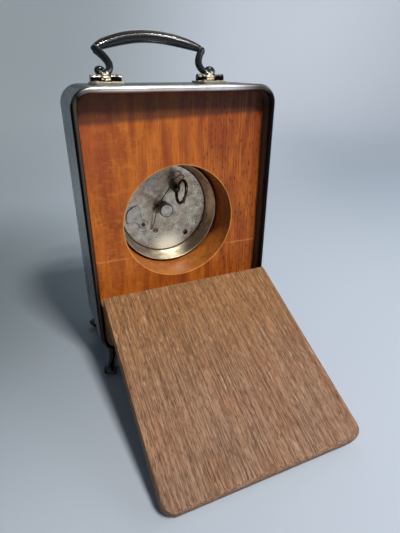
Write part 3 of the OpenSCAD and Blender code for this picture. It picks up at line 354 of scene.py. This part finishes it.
scuff_height = abs(wood_z - scuff_low - wood_x * 0.012 + (broad - 0.5) * 0.6 * mm)
scuff = (1 - varnished_wood.step(scuff_height, 0.1 * mm, 0.5 * mm)) * (0.6 - growth * 0.5)
scuff = scuff * (1 - round_bore(0.5, 4))
wood = varnished_wood.mix(scuff, wood, tone(232, 160, 84))
inside_bore = round_bore(-0.1, 0.05)
grit = varnished_wood.step(varnished_wood.noise(0.7 * mm, detail=4.0), 0.44, 0.58)
bore_colour = varnished_wood.mix(grit, tone(96, 50, 24), tone(196, 134, 58))
# Painted light: the bore's wall is lighter lower down, where it faces up to the lamp.
painted_light_low_in_bore = varnished_wood.step(wood_z, 56 * mm, 44 * mm)
bore_colour = varnished_wood.mix(painted_light_low_in_bore * 0.3, bore_colour, tone(206, 146, 58))
wood = varnished_wood.mix(inside_bore, wood, bore_colour)
# Painted highlight: a golden line along the bore's sharp edge.
bore_edge_highlight = round_bore(0.3, 0.6) - round_bore(0.02, 0.12)
wood = varnished_wood.mix(bore_edge_highlight * (0.3 + broad * 0.7), wood, tone(226, 160, 74))
varnished_wood.feed("Base Color", wood)
varnished_wood.feed("Roughness", 0.44 + fine * 0.16 + pore * 0.2)
varnished_wood.feed("Coat Weight", 0.1 - pore * 0.08)
varnished_wood.bump(growth * 0.3 + fine * 0.4 - pore * 0.6, 0.06 * mm, 0.6)
dress(["wood_block"], varnished_wood, 0.3 * mm)


# The rail and the door are the same raw oak board, sawn apart: coarse open grain runs up the rail
# and along the door, which hangs on two small brass hinges and lies folded down on the table.
door_joint = next(j for j in frame["joints"] if j["name"] == "door_hinge")
door_open = math.radians(door_joint["range_deg"][1])


def raw_oak(name, turn):
    """Unvarnished oak whose grain lies along Z once the board is turned upright."""
    oak = Finish(name)
    board = oak.turned(turn, door_joint["pos_m"])
    along = oak.axis("Z", board)
    fibre = oak.noise(0.33 * mm, (1, 1, 12), board, detail=3.0)
    ridge = oak.noise(0.62 * mm, (1, 1, 40), board, detail=1.5)
    pore = oak.step(oak.noise(0.32 * mm, (1, 1, 8), board, detail=2.0), 0.54, 0.64)
    streak = oak.step(oak.noise(0.5 * mm, (1, 1, 60), board, detail=1.0), 0.58, 0.68)
    patch = oak.noise(9 * mm, (1, 1, 2), board, detail=4.0)
    worn = oak.step(oak.noise(1.6 * mm, (0.6, 1, 3.5), board, detail=3.0), 0.62, 0.74)
    colour = oak.mix(oak.step(along, 5 * mm, 70 * mm), tone(158, 114, 72), tone(158, 124, 100))
    colour = oak.mix(oak.step(patch, 0.4, 0.7) * 0.3, colour, tone(156, 98, 56))
    colour = oak.mix(oak.step(ridge, 0.46, 0.58) * 0.55, colour, tone(100, 68, 46))
    colour = oak.mix(oak.step(fibre, 0.42, 0.66) * 0.5, colour, tone(84, 56, 38))
    colour = oak.mix(pore * 0.6, colour, tone(58, 36, 24))
    colour = oak.mix(streak * 0.5, colour, tone(60, 38, 27))
    colour = oak.mix(worn * 0.4, colour, tone(206, 176, 146))
    oak.feed("Base Color", colour)
    oak.feed("Roughness", 0.72 + fibre * 0.2)
    oak.feed("Specular IOR Level", 0.3)
    oak.bump(1 - ridge * 0.5 - fibre * 0.6 - pore * 0.4, 0.22 * mm, 0.8)
    return oak


dress(["back_rail"], raw_oak("raw_oak_rail", 0.0), 0.2 * mm)
dress(["back_door"], raw_oak("raw_oak_door", door_open), 0.35 * mm, 3)


# The door's hinges are pressed brass butts with brass screws, let into the wood and dulled by age.
# One leaf of each is on the rail and one on the door, and a brass pin joins them.
brass = Finish("brass", Metallic=1.0)
cloud = brass.noise(2.5 * mm, detail=4.0)
brass.feed("Base Color", brass.mix(brass.step(cloud, 0.3, 0.75), tone(198, 166, 98), tone(146, 112, 60)))
brass.feed("Roughness", 0.24 + cloud * 0.2)
brass.bump(brass.noise(0.3 * mm, (6, 1, 1), detail=2.0), 0.01 * mm, 0.5)
dress(["rail_hinge_leaves", "door_hinge_leaves", "door_hinge_pins", "rail_hinge_screws",
       "door_hinge_screws"], brass, 0.06 * mm)


# Each handle bracket is a cast silver plate with two knuckles, held by two screws: black tarnish fills its
# sides, and wear keeps the plate's rim bright. Faces turned up are painted lighter as a highlight from
# above, most on the knuckles' tops.
bracket_low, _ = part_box("handle_bracket_left")
tarnished_silver = Finish("tarnished_silver", Metallic=1.0)
up = tarnished_silver.axis("Z", tarnished_silver.node("ShaderNodeTexCoord", out="Normal"))
cloud = tarnished_silver.noise(1.1 * mm, detail=4.0)
plate_low, plate_high = bracket_low.z + 0.9 * mm, bracket_low.z + 1.3 * mm
plate_rim = 1 - tarnished_silver.step(tarnished_silver.axis("Z"), plate_low, plate_high)
# Lighter where wear keeps the plate's rim bright and where faces turn up, a painted highlight from above.
worn = tarnished_silver.step(up * 0.4 + cloud + plate_rim * 0.45, 0.62, 0.95)
tarnished_silver.feed("Base Color", tarnished_silver.mix(worn, tone(24, 23, 25), tone(204, 194, 174)))
tarnished_silver.feed("Roughness", 0.3 + plate_rim * 0.12)
tarnished_silver.bump(cloud, 0.06 * mm, 0.5)
dress(["handle_bracket_left", "handle_bracket_right"], tarnished_silver, 0.22 * mm)


# The drum is a nickel-plated cup with a rolled lip, pushed into the block's bore.
# The knob, the regulator's shutter, and the handle's pins and bracket screws are plated like it.
nickel = Finish("nickel", Metallic=1.0)
cloud = nickel.noise(3.2 * mm, detail=4.0)
speck = nickel.step(nickel.noise(0.75 * mm, detail=1.0), 0.7, 0.76)
colour = nickel.mix(nickel.step(cloud, 0.35, 0.7), tone(206, 200, 188), tone(170, 160, 146))
nickel.feed("Base Color", nickel.mix(speck * 0.8, colour, tone(58, 46, 36)))
nickel.feed("Roughness", 0.26 + cloud * 0.16 + speck * 0.3)
nickel.bump(cloud + nickel.noise(0.2 * mm, detail=2.0) * 0.3 - speck * 0.5, 0.03 * mm, 0.5)
dress(["drum_case"], nickel, 0.08 * mm)
dress(["set_knob", "regulator_shutter", "handle_pins", "bracket_screws"], nickel, 0.06 * mm)


# The drum's back cover is a pressed nickel disc, brown round the key and the knob and spotted with rust
# near its edge.
# Shade is painted above the key, at the knob's upper left and over a small hole, and a highlight is painted
# where it dips towards the drum's lip.
cover_low, cover_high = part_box("back_cover")
cover_x, cover_z = (cover_low.x + cover_high.x) / 2, (cover_low.z + cover_high.z) / 2
cover_nickel = Finish("cover_nickel")


def stain(x, z, inner, outer):
    """1 round a spot on the cover, fading out, in millimetres across and up from the cover's middle."""
    spot = (cover_x + x * mm, 0.0, cover_z + z * mm)
    return cover_nickel.near(spot, inner * mm, outer * mm, face_on)


cloud = cover_nickel.noise(3.2 * mm, detail=5.0)
grime = cover_nickel.step(cloud, 0.32, 0.8)
colour = cover_nickel.mix(grime, tone(206, 194, 174), tone(170, 154, 132))
colour = cover_nickel.mix(stain(6.6, 15, 1, 8) * 0.5, colour, tone(154, 166, 178))
brown = stain(6, 7, 1, 10) + stain(3.6, 1, 1, 6) + stain(-7.5, 14, 1, 6)
colour = cover_nickel.mix(brown * (0.3 + grime * 0.5), colour, tone(116, 86, 62))
# Painted shade: dark patches above the key and at the knob's upper left.
key_and_knob_shade = stain(-4.2, 17.6, 0.5, 4.4) + stain(3.2, 1.2, 2.6, 4.4)
colour = cover_nickel.mix(key_and_knob_shade * (0.35 + grime * 0.5), colour, tone(40, 32, 28))
near_edge = 1 - stain(0, 0, 9, 19)
spot = cover_nickel.step(cover_nickel.noise(0.8 * mm, detail=1.0) + near_edge * 0.05, 0.7, 0.74)
colour = cover_nickel.mix(spot * 0.85, colour, tone(52, 40, 28))
# Painted shade: a dark spot where a small hole is in the cover.
hole_shade = stain(-11.2, -14.6, 1.2, 1.9)
colour = cover_nickel.mix(hole_shade * 0.8, colour, tone(56, 56, 46))
# Painted highlight: a pale, less metallic patch where the cover dips towards the drum's lip.
painted_highlight = stain(-1.5, -21, 2, 12)
colour = cover_nickel.mix(painted_highlight * 0.9, colour, tone(255, 250, 228))
cover_nickel.feed("Metallic", 1 - painted_highlight * 0.45)
cover_nickel.feed("Base Color", colour)
cover_nickel.feed("Roughness", 0.26 + grime * 0.12 + spot * 0.3 + painted_highlight * 0.12)
dip = 1 - stain(0, 0, 11, 23)
cover_nickel.bump(cloud * 0.03 + dip * 2.2 - spot * 0.02, 1 * mm, 0.8)
dress(["back_cover"], cover_nickel, 0.07 * mm)


# The key, its ring, the bent wire, the rivet and the arbors are steel, turned or bent and darkened,
# like the studs that hold the feet. One brass screw holds the cover down.
dark_steel = Finish("dark_steel", Metallic=1.0)
cloud = dark_steel.noise(1.5 * mm, detail=4.0)
browned = dark_steel.step(cloud, 0.4, 0.75)
dark_steel.feed("Base Color", dark_steel.mix(browned, tone(66, 60, 56), tone(124, 108, 90)))
dark_steel.feed("Roughness", 0.22 + cloud * 0.2)
dark_steel.bump(cloud, 0.02 * mm, 0.4)
dress(["shutter_rivet", "winding_key", "foot_studs", "barrel_arbor", "ratchet_wheel", "click",
       "centre_arbor", "cannon_pinion", "pallet_lever", "regulator_arm"], dark_steel, 0.06 * mm)
dress(["key_ring", "back_wire"], dark_steel)
dress(["cover_screw"], brass, 0.08 * mm)


# The handle is one casting, tarnished black and glossy: an arched grip with a ridge along its middle,
# whose pointed ends turn down into two curved legs, each closed by a small scroll over its knuckle.
black_metal = Finish("black_metal", Coat_Roughness=0.1, Coat_IOR=1.45)
cloud = black_metal.noise(3 * mm, detail=4.0)
rubbed = 1 - black_metal.step(black_metal.axis("Z"), 2 * mm, 6 * mm)
worn = black_metal.step(black_metal.noise(0.8 * mm, detail=3.0) + rubbed * 0.1, 0.64, 0.74)
black_metal.feed("Base Color", black_metal.mix(worn * 0.45, tone(8, 9, 12), tone(130, 122, 106)))
black_metal.feed("Metallic", worn * 0.6)
black_metal.feed("Roughness", 0.2 + cloud * 0.12)
black_metal.feed("Coat Weight", 0.5 - worn * 0.4)
black_metal.bump(cloud + black_metal.noise(0.6 * mm, detail=2.0) * 0.4, 0.06 * mm, 0.5)
worn_silver = Finish("worn_silver", Metallic=1.0)
cloud = worn_silver.noise(0.9 * mm, detail=4.0)
soiled = worn_silver.step(cloud, 0.42, 0.62)
worn_silver.feed("Base Color", worn_silver.mix(soiled, tone(214, 204, 186), tone(58, 52, 48)))
worn_silver.feed("Roughness", 0.3 + cloud * 0.2)
worn_silver.bump(cloud, 0.08 * mm, 0.5)


def shaped(name, points, faces, finish, slot, body, smoothing=2):
    """A new smooth piece in the part's frame that rides on a body."""
    mesh = bpy.data.meshes.new(name)
    mesh.from_pydata([tuple(p) for p in points], [], faces)
    mesh.validate()
    mesh.polygons.foreach_set("use_smooth", [True] * len(mesh.polygons))
    mesh.materials.append(finish.material)
    piece = bpy.data.objects.new(name, mesh)
    bpy.context.scene.collection.objects.link(piece)
    if smoothing:
        soft = piece.modifiers.new("smooth", "SUBSURF")
        soft.levels = soft.render_levels = smoothing
    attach(piece, body)
    return piece


def sweep(path, side, sections):
    """Points and faces of a closed bar along a path, with one section at each of its points.

    A section lists distances towards side and at right angles to it.
    """
    path = [Vector(p) for p in path]
    points = []
    for i, (spot, section) in enumerate(zip(path, sections)):
        along = (path[min(i + 1, len(path) - 1)] - path[max(i - 1, 0)]).normalized()
        over = along.cross(Vector(side)).normalized()
        across = over.cross(along)
        points += [spot + across * a + over * b for a, b in section]
    n = len(sections[0])
    faces = [(i * n + k, i * n + (k + 1) % n, (i + 1) * n + (k + 1) % n, (i + 1) * n + k)
             for i in range(len(path) - 1) for k in range(n)]
    faces += [tuple(range(n - 1, -1, -1)), tuple((len(path) - 1) * n + k for k in range(n))]
    return points, faces


def oval(a, b, sides=12):
    """The section of a round or flattened bar, from its two half widths."""
    turns = [2 * math.pi * k / sides for k in range(sides)]
    return [(a * math.cos(turn), b * math.sin(turn)) for turn in turns]


def joined(parts):
    """Several point and face lists as one."""
    points, faces = [], []
    for more_points, more_faces in parts:
        faces += [tuple(len(points) + k for k in face) for face in more_faces]
        points += list(more_points)
    return points, faces


def curve_through(knots, steps):
    """A smooth line through rows of numbers."""
    rows = [np.array(k, float) for k in knots]
    line = []
    for i in range(len(rows) - 1):
        a, b, c, d = rows[max(i - 1, 0)], rows[i], rows[i + 1], rows[min(i + 2, len(rows) - 1)]
        for t in np.linspace(0, 1, steps, endpoint=False):
            line.append(0.5 * (2 * b + (c - a) * t + (2 * a - 5 * b + 4 * c - d) * t ** 2
                               + (3 * b - a - 3 * c + d) * t ** 3))
    return line + [rows[-1]]


handle_joint = next(j for j in frame["joints"] if j["name"] == "handle_hinge")
handle_pivot = Vector(handle_joint["pos_m"])
lean_angle = 47
handle_lean = Matrix.Rotation(math.radians(lean_angle), 3, "X")
hinge_half = 22.4
grip_half, grip_tip_h, grip_mid_h = 23.8, 15.8, 23.2


def on_handle(points):
    """From millimetres about the upright handle's pins to the part's frame."""
    return [handle_pivot + handle_lean @ (Vector(p) * mm) for p in points]


grip_steps, grip_sides, ridge_at = 29, 16, 15
grip_path, grip_sections, ridge_path = [], [], []
for f in np.linspace(-1, 1, grip_steps):
    grip_path.append((f * grip_half, 0, grip_tip_h + (grip_mid_h - grip_tip_h) * (1 - f * f)))
    full = 1 - f ** 4
    tall, thick, ridge = 1.3 + 2.0 * full, 1.2 + 0.85 * full, 0.55 * full
    section = []
    for k in range(grip_sides):
        a = 2 * math.pi * k / grip_sides
        beside = 0.08 * ridge if k == ridge_at - 1 else 0
        proud = 1 + (ridge / thick if k == ridge_at else beside)
        section.append((thick * math.cos(a) * proud, tall * math.sin(a) * proud))
    grip_sections.append(section)
    crest = section[ridge_at]
    ridge_path.append((grip_path[-1][0], crest[0] * 0.97, grip_path[-1][2] + crest[1] * 0.97))
handle_parts = [sweep(grip_path, (0, 1, 0), grip_sections)]
for s in (-1, 1):
    leg = curve_through([
        (s * (grip_half + 0.9), 0, grip_tip_h - 0.6, 0.5, 0.5),
        (s * (grip_half + 0.1), 0, grip_tip_h - 0.2, 1.7, 1.5),
        (s * (grip_half - 1.6), 0, 13.6, 1.85, 1.6),
        (s * (grip_half - 3.4), 0, 10.4, 1.65, 1.6),
        (s * (grip_half - 4.3), 0, 7.2, 1.5, 1.6),
        (s * (hinge_half - 2.3), 0, 4.3, 1.4, 1.5),
        (s * (hinge_half - 0.8), 0, 2.6, 1.5, 1.4),
        (s * (hinge_half + 0.2), 0, 2.3, 1.2, 1.2),
    ], 3)
    handle_parts.append(sweep([p[:3] for p in leg], (0, 1, 0), [oval(p[3], p[4]) for p in leg]))
    scroll = []
    for t in np.linspace(0, 1, 15):
        a = math.radians(-110 + 330 * t)
        reach, wire = 1.75 - 1.15 * t, 0.95 - 0.25 * t
        scroll.append((s * (hinge_half + 1.1 + reach * math.cos(a)), 0, 4.1 + reach * math.sin(a), wire))
    scroll_sections = [oval(p[3], p[3] * 1.5, 10) for p in scroll]
    handle_parts.append(sweep([p[:3] for p in scroll], (0, 1, 0), scroll_sections))
handle_points, handle_faces = joined(handle_parts)
carrying_handle = shaped("carrying_handle", on_handle(handle_points), handle_faces,
                         black_metal, "black_metal", "handle")
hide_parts("handle")
# Painted highlight and wear: a thin bright silver line along the grip's ridge.
ridge_wear_and_highlight = sweep(ridge_path[1:-1], (0, 1, 0), [oval(0.2, 0.16, 8)] * (len(ridge_path) - 2))
shaped("handle_ridge", on_handle(ridge_wear_and_highlight[0]), ridge_wear_and_highlight[1], bright_silver, "bright_silver", "handle", 1)
wing_line = ((0.3, 1.1), (1.1, 1.9), (1.7, 2.9), (2.0, 3.7))
for s, name in ((1, "left"), (-1, "right")):
    tongue = [(s * hinge_half + x, 0, 0) for x in (-1.98, -1.9, -1.2, 0, 1.2, 1.9, 1.98)]
    girth = (0.9, 1.12, 1.18, 1.2, 1.18, 1.12, 0.9)
    collar = [(s * (hinge_half + 0.1), 0, z) for z in (0.2, 1.0, 1.8, 2.4)]
    width = (1.85, 1.95, 1.6, 1.2)
    wings = []
    for way in (-1, 1):
        wing = [(s * (hinge_half + 0.1) + way * x, 0, z) for x, z in wing_line]
        wings.append(sweep(wing, (0, 1, 0), [oval(r, 0.7 * r, 10) for r in (1.3, 1.35, 1.1, 0.6)]))
    points, faces = joined([
        sweep(tongue, (0, 1, 0), [oval(r, r, 16) for r in girth]),
        sweep(collar, (0, 1, 0), [oval(1.15, w, 14) for w in width]),
        *wings,
    ])
    shaped("handle_knuckle_" + name, on_handle(points), faces, worn_silver, "bright_silver", "handle", 1)


# The feet are small castings, tarnished like the handle: a knee under the case's corner,
# a slim ankle and a toe that rolls outwards into a scroll.
foot_h, toe_h = 9.5, 3.4
toe_in, ankle_in = 3.4, (4.0, 9.4)
front_toe_longer, back_toe_longer = -1.3, 0.4
# Each knot is the share of the way from ankle to toe, the height and the two half widths.
foot_knots = [
    (0.02, foot_h + 1.0, 4.1, 4.1),
    (0.05, foot_h - 0.2, 3.9, 3.9),
    (0.2, foot_h - 1.7, 3.2, 3.1),
    (0.42, foot_h - 3.2, 2.4, 2.3),
    (0.6, foot_h - 4.5, 2.0, 1.9),
    (0.76, foot_h - 5.6, 2.3, 2.1),
    (0.92, toe_h - 0.4, 2.9, 2.8),
    (1.06, toe_h - 0.5, 2.9, 2.85),
    (1.2, toe_h - 0.6, 1.8, 2.1),
]
for name in ("foot_back_left", "foot_back_right", "foot_front_left", "foot_front_right"):
    low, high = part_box(name)
    sx = 1 if name.endswith("left") else -1
    sy = 1 if "back" in name else -1
    corner = Vector((high.x if sx > 0 else low.x, high.y if sy > 0 else low.y, 0)) / mm
    toe = corner - Vector((sx * toe_in, sy * toe_in, 0))
    ankle = toe - Vector((sx * ankle_in[0], sy * ankle_in[1], 0))
    line = curve_through(foot_knots, 3)
    outward = (toe - ankle).normalized()
    toe += outward * (front_toe_longer if sy < 0 else back_toe_longer)
    path = [ankle + (toe - ankle) * min(p[0], 1.13) + Vector((0, 0, p[1])) for p in line]
    side = Vector((-outward.y, outward.x, 0))
    parts = [sweep(path, side, [oval(p[2], p[3], 14) for p in line])]
    for way in (-1, 1):
        eye = toe + outward * 0.5 + side * (way * 2.3) + Vector((0, 0, toe_h - 0.6))
        curl = []
        for t in np.linspace(0, 1, 16):
            a = math.radians(200 - 420 * t)
            reach = 2.1 * (1 - 0.8 * t)
            spot = eye + outward * (reach * math.cos(a)) + Vector((0, 0, reach * math.sin(a)))
            curl.append((*spot, 0.62 - 0.2 * t))
        parts.append(sweep([p[:3] for p in curl], side, [oval(p[3], p[3], 8) for p in curl]))
    points, faces = joined(parts)
    points = [Vector((p[0], p[1], max(p[2], 0.02))) * mm for p in map(Vector, points)]
    foot = shaped(name.replace("foot", "scroll_foot"), points, faces, black_metal, "black_metal", "case")
    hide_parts(name)


# Painted shade, with some grime, lies as dark lines in the seam round the back cover and round the edges of
# the small pieces on it.
# Each stands up as a thin line that stays on its own piece when that piece turns.
crease_shade = Finish("crease_shade", Roughness=0.5)
cloud = crease_shade.noise(1.2 * mm, detail=3.0)
crease_shade.feed("Base Color", crease_shade.mix(crease_shade.step(cloud, 0.4, 0.7), tone(20, 15, 12), tone(66, 50, 34)))


def grease_line(name, loops, wire, body):
    """A thin round dark line of painted shade and grime along closed loops of points that lie flat against
    the cover.
    """
    lines = []
    for loop in loops:
        n = len(loop)
        points = []
        for k in range(n):
            out = (loop[(k + 1) % n] - loop[k - 1]).cross(Vector((0, 1, 0))).normalized()
            points += [loop[k] + out * (wire * math.cos(a)) + Vector((0, wire * math.sin(a), 0))
                       for a in (2 * math.pi * j / 6 for j in range(6))]
        faces = [(k * 6 + j, k * 6 + (j + 1) % 6, (k + 1) % n * 6 + (j + 1) % 6, (k + 1) % n * 6 + j)
                 for k in range(n) for j in range(6)]
        lines.append((points, faces))
    shaped(name, *joined(lines), crease_shade, "dark_steel", body, 0)


def back_edges(node, sink):
    """The closed edges of a CAD piece's rearmost flat face, sunk by a depth."""
    mesh = bmesh.new()
    mesh.from_mesh(frame["nodes"][node].data)
    bmesh.ops.remove_doubles(mesh, verts=mesh.verts, dist=weld_gap)
    back = max(v.co.y for v in mesh.verts)
    on_face = {f for f in mesh.faces if all(back - v.co.y < 0.01 * mm for v in f.verts)}
    ways = {}
    for f in on_face:
        for edge_loop in f.loops:
            if sum(g in on_face for g in edge_loop.edge.link_faces) == 1:
                ways[edge_loop.vert.index] = edge_loop.link_loop_next.vert.index
    mesh.verts.ensure_lookup_table()
    loops = []
    while ways:
        first, after = ways.popitem()
        loop = [first, after]
        while loop[-1] in ways:
            loop.append(ways.pop(loop[-1]))
        loops.append([mesh.verts[k].co + Vector((0, -sink, 0)) for k in loop[:-1]])
    mesh.free()
    return loops


def circle(x, z, y, radius, sides=72):
    return [Vector((x + across, y, z + up)) for across, up in oval(radius, radius, sides)]


seam_radius = (cover_high.x - cover_low.x) / 2 + 0.08 * mm
# Painted shade in the cover's seam and along the edges of the shutter, the knob and the screw.
grease_line("cover_seam", [circle(cover_x, cover_z, cover_high.y, seam_radius)], 0.38 * mm, "case")
grease_line("shutter_outline", back_edges("regulator_shutter", 0.12 * mm), 0.15 * mm, "shutter")
grease_line("knob_outline", back_edges("set_knob", 0.12 * mm), 0.26 * mm, "setting")
grease_line("screw_outline", back_edges("cover_screw", 0.0), 0.1 * mm, "case")


# The dial is a white enamelled disc behind flat glass, with plain black hour numbers and a minute ring.
# They are printed on it as thin flat marks.
enamel = Finish("enamel", Coat_Weight=0.6, Coat_Roughness=0.05)
craze = enamel.noise(4 * mm, detail=3.0)
enamel.feed("Base Color", enamel.mix(craze * 0.4, tone(238, 236, 228), tone(222, 218, 206)))
enamel.feed("Roughness", 0.25 + craze * 0.1)
dress(["dial"], enamel)
ink = Finish("ink", Roughness=0.45)
ink.feed("Base Color", ink.mix(ink.noise(1 * mm), tone(22, 22, 24), tone(34, 33, 34)))
dial_low, dial_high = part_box("dial")
dial_middle = (dial_low + dial_high) / 2
dial_face_y = dial_low.y


def printed(name, points, faces):
    """A flat black mark on the dial: points are millimetres across and up from its middle."""
    spots = [(dial_middle.x + x * mm, dial_face_y - 0.03 * mm, dial_middle.z + z * mm) for x, z in points]
    return shaped(name, spots, faces, ink, "enamel", "case", 0)


def arc_block(r_in, r_out, centre_deg, width_deg, steps=1):
    """Points and faces of a block of a ring, turned clockwise from the top."""
    turns = [math.radians(centre_deg + width_deg * (k / steps - 0.5)) for k in range(steps + 1)]
    points = [(r * math.sin(a), r * math.cos(a)) for a in turns for r in (r_in, r_out)]
    return points, [(2 * k, 2 * k + 1, 2 * k + 3, 2 * k + 2) for k in range(steps)]


track_in, track_out = 20.2, 21.2
marks = [arc_block(track_in, track_out, 6 * k, 1.6 if k % 5 == 0 else 0.6) for k in range(60)]
marks += [arc_block(r, r + 0.12, 0, 360, 120) for r in (track_in - 0.12, track_out)]
printed("minute_track", *joined(marks))
number_height, number_narrowing, number_radius = 5.2, 0.85, 16.6
numerals = []
for hour in range(1, 13):
    text = bpy.data.curves.new(f"number_{hour}", "FONT")
    text.body, text.size = str(hour), number_height
    text.align_x, text.align_y = "CENTER", "CENTER"
    holder = bpy.data.objects.new(f"number_{hour}", text)
    mesh = bpy.data.meshes.new_from_object(holder)
    turn = math.radians(30 * hour)
    spot = (number_radius * math.sin(turn), number_radius * math.cos(turn))
    numerals.append(([(spot[0] + v.co.x * number_narrowing, spot[1] + v.co.y) for v in mesh.vertices],
                     [tuple(p.vertices) for p in mesh.polygons]))
    bpy.data.objects.remove(holder)
printed("hour_numbers", *joined(numerals))


# The glass is a flat clear disc, cut round.
# It lies in front of the hands and is held by the bezel.
clear_glass = Finish("clear_glass", Roughness=0.02, IOR=1.5, Transmission_Weight=1.0)
clear_glass.feed("Base Color", tone(240, 246, 246))
clear_glass.bump(clear_glass.noise(12 * mm, detail=1.0), 0.01 * mm, 0.3)
dress(["dial_glass"], clear_glass)


# The hands and springs are steel heated to a deep blue; the train's wheels and plates are brass.
# The hands sit on their pipes, and the wheels turn between the two plates.
blued_steel = Finish("blued_steel", Metallic=1.0)
cloud = blued_steel.noise(2 * mm, detail=3.0)
blued_steel.feed("Base Color", blued_steel.mix(cloud, tone(38, 48, 92), tone(58, 60, 110)))
blued_steel.feed("Roughness", 0.2 + cloud * 0.15)
dress(["hour_hand", "minute_hand", "mainspring", "click_spring", "hairspring"], blued_steel)
dress(["rear_movement_plate", "front_movement_plate", "plate_pillars", "mainspring_barrel", "centre_wheel",
       "third_wheel", "fourth_wheel", "escape_wheel", "balance_wheel", "minute_wheel", "hour_wheel"], brass)
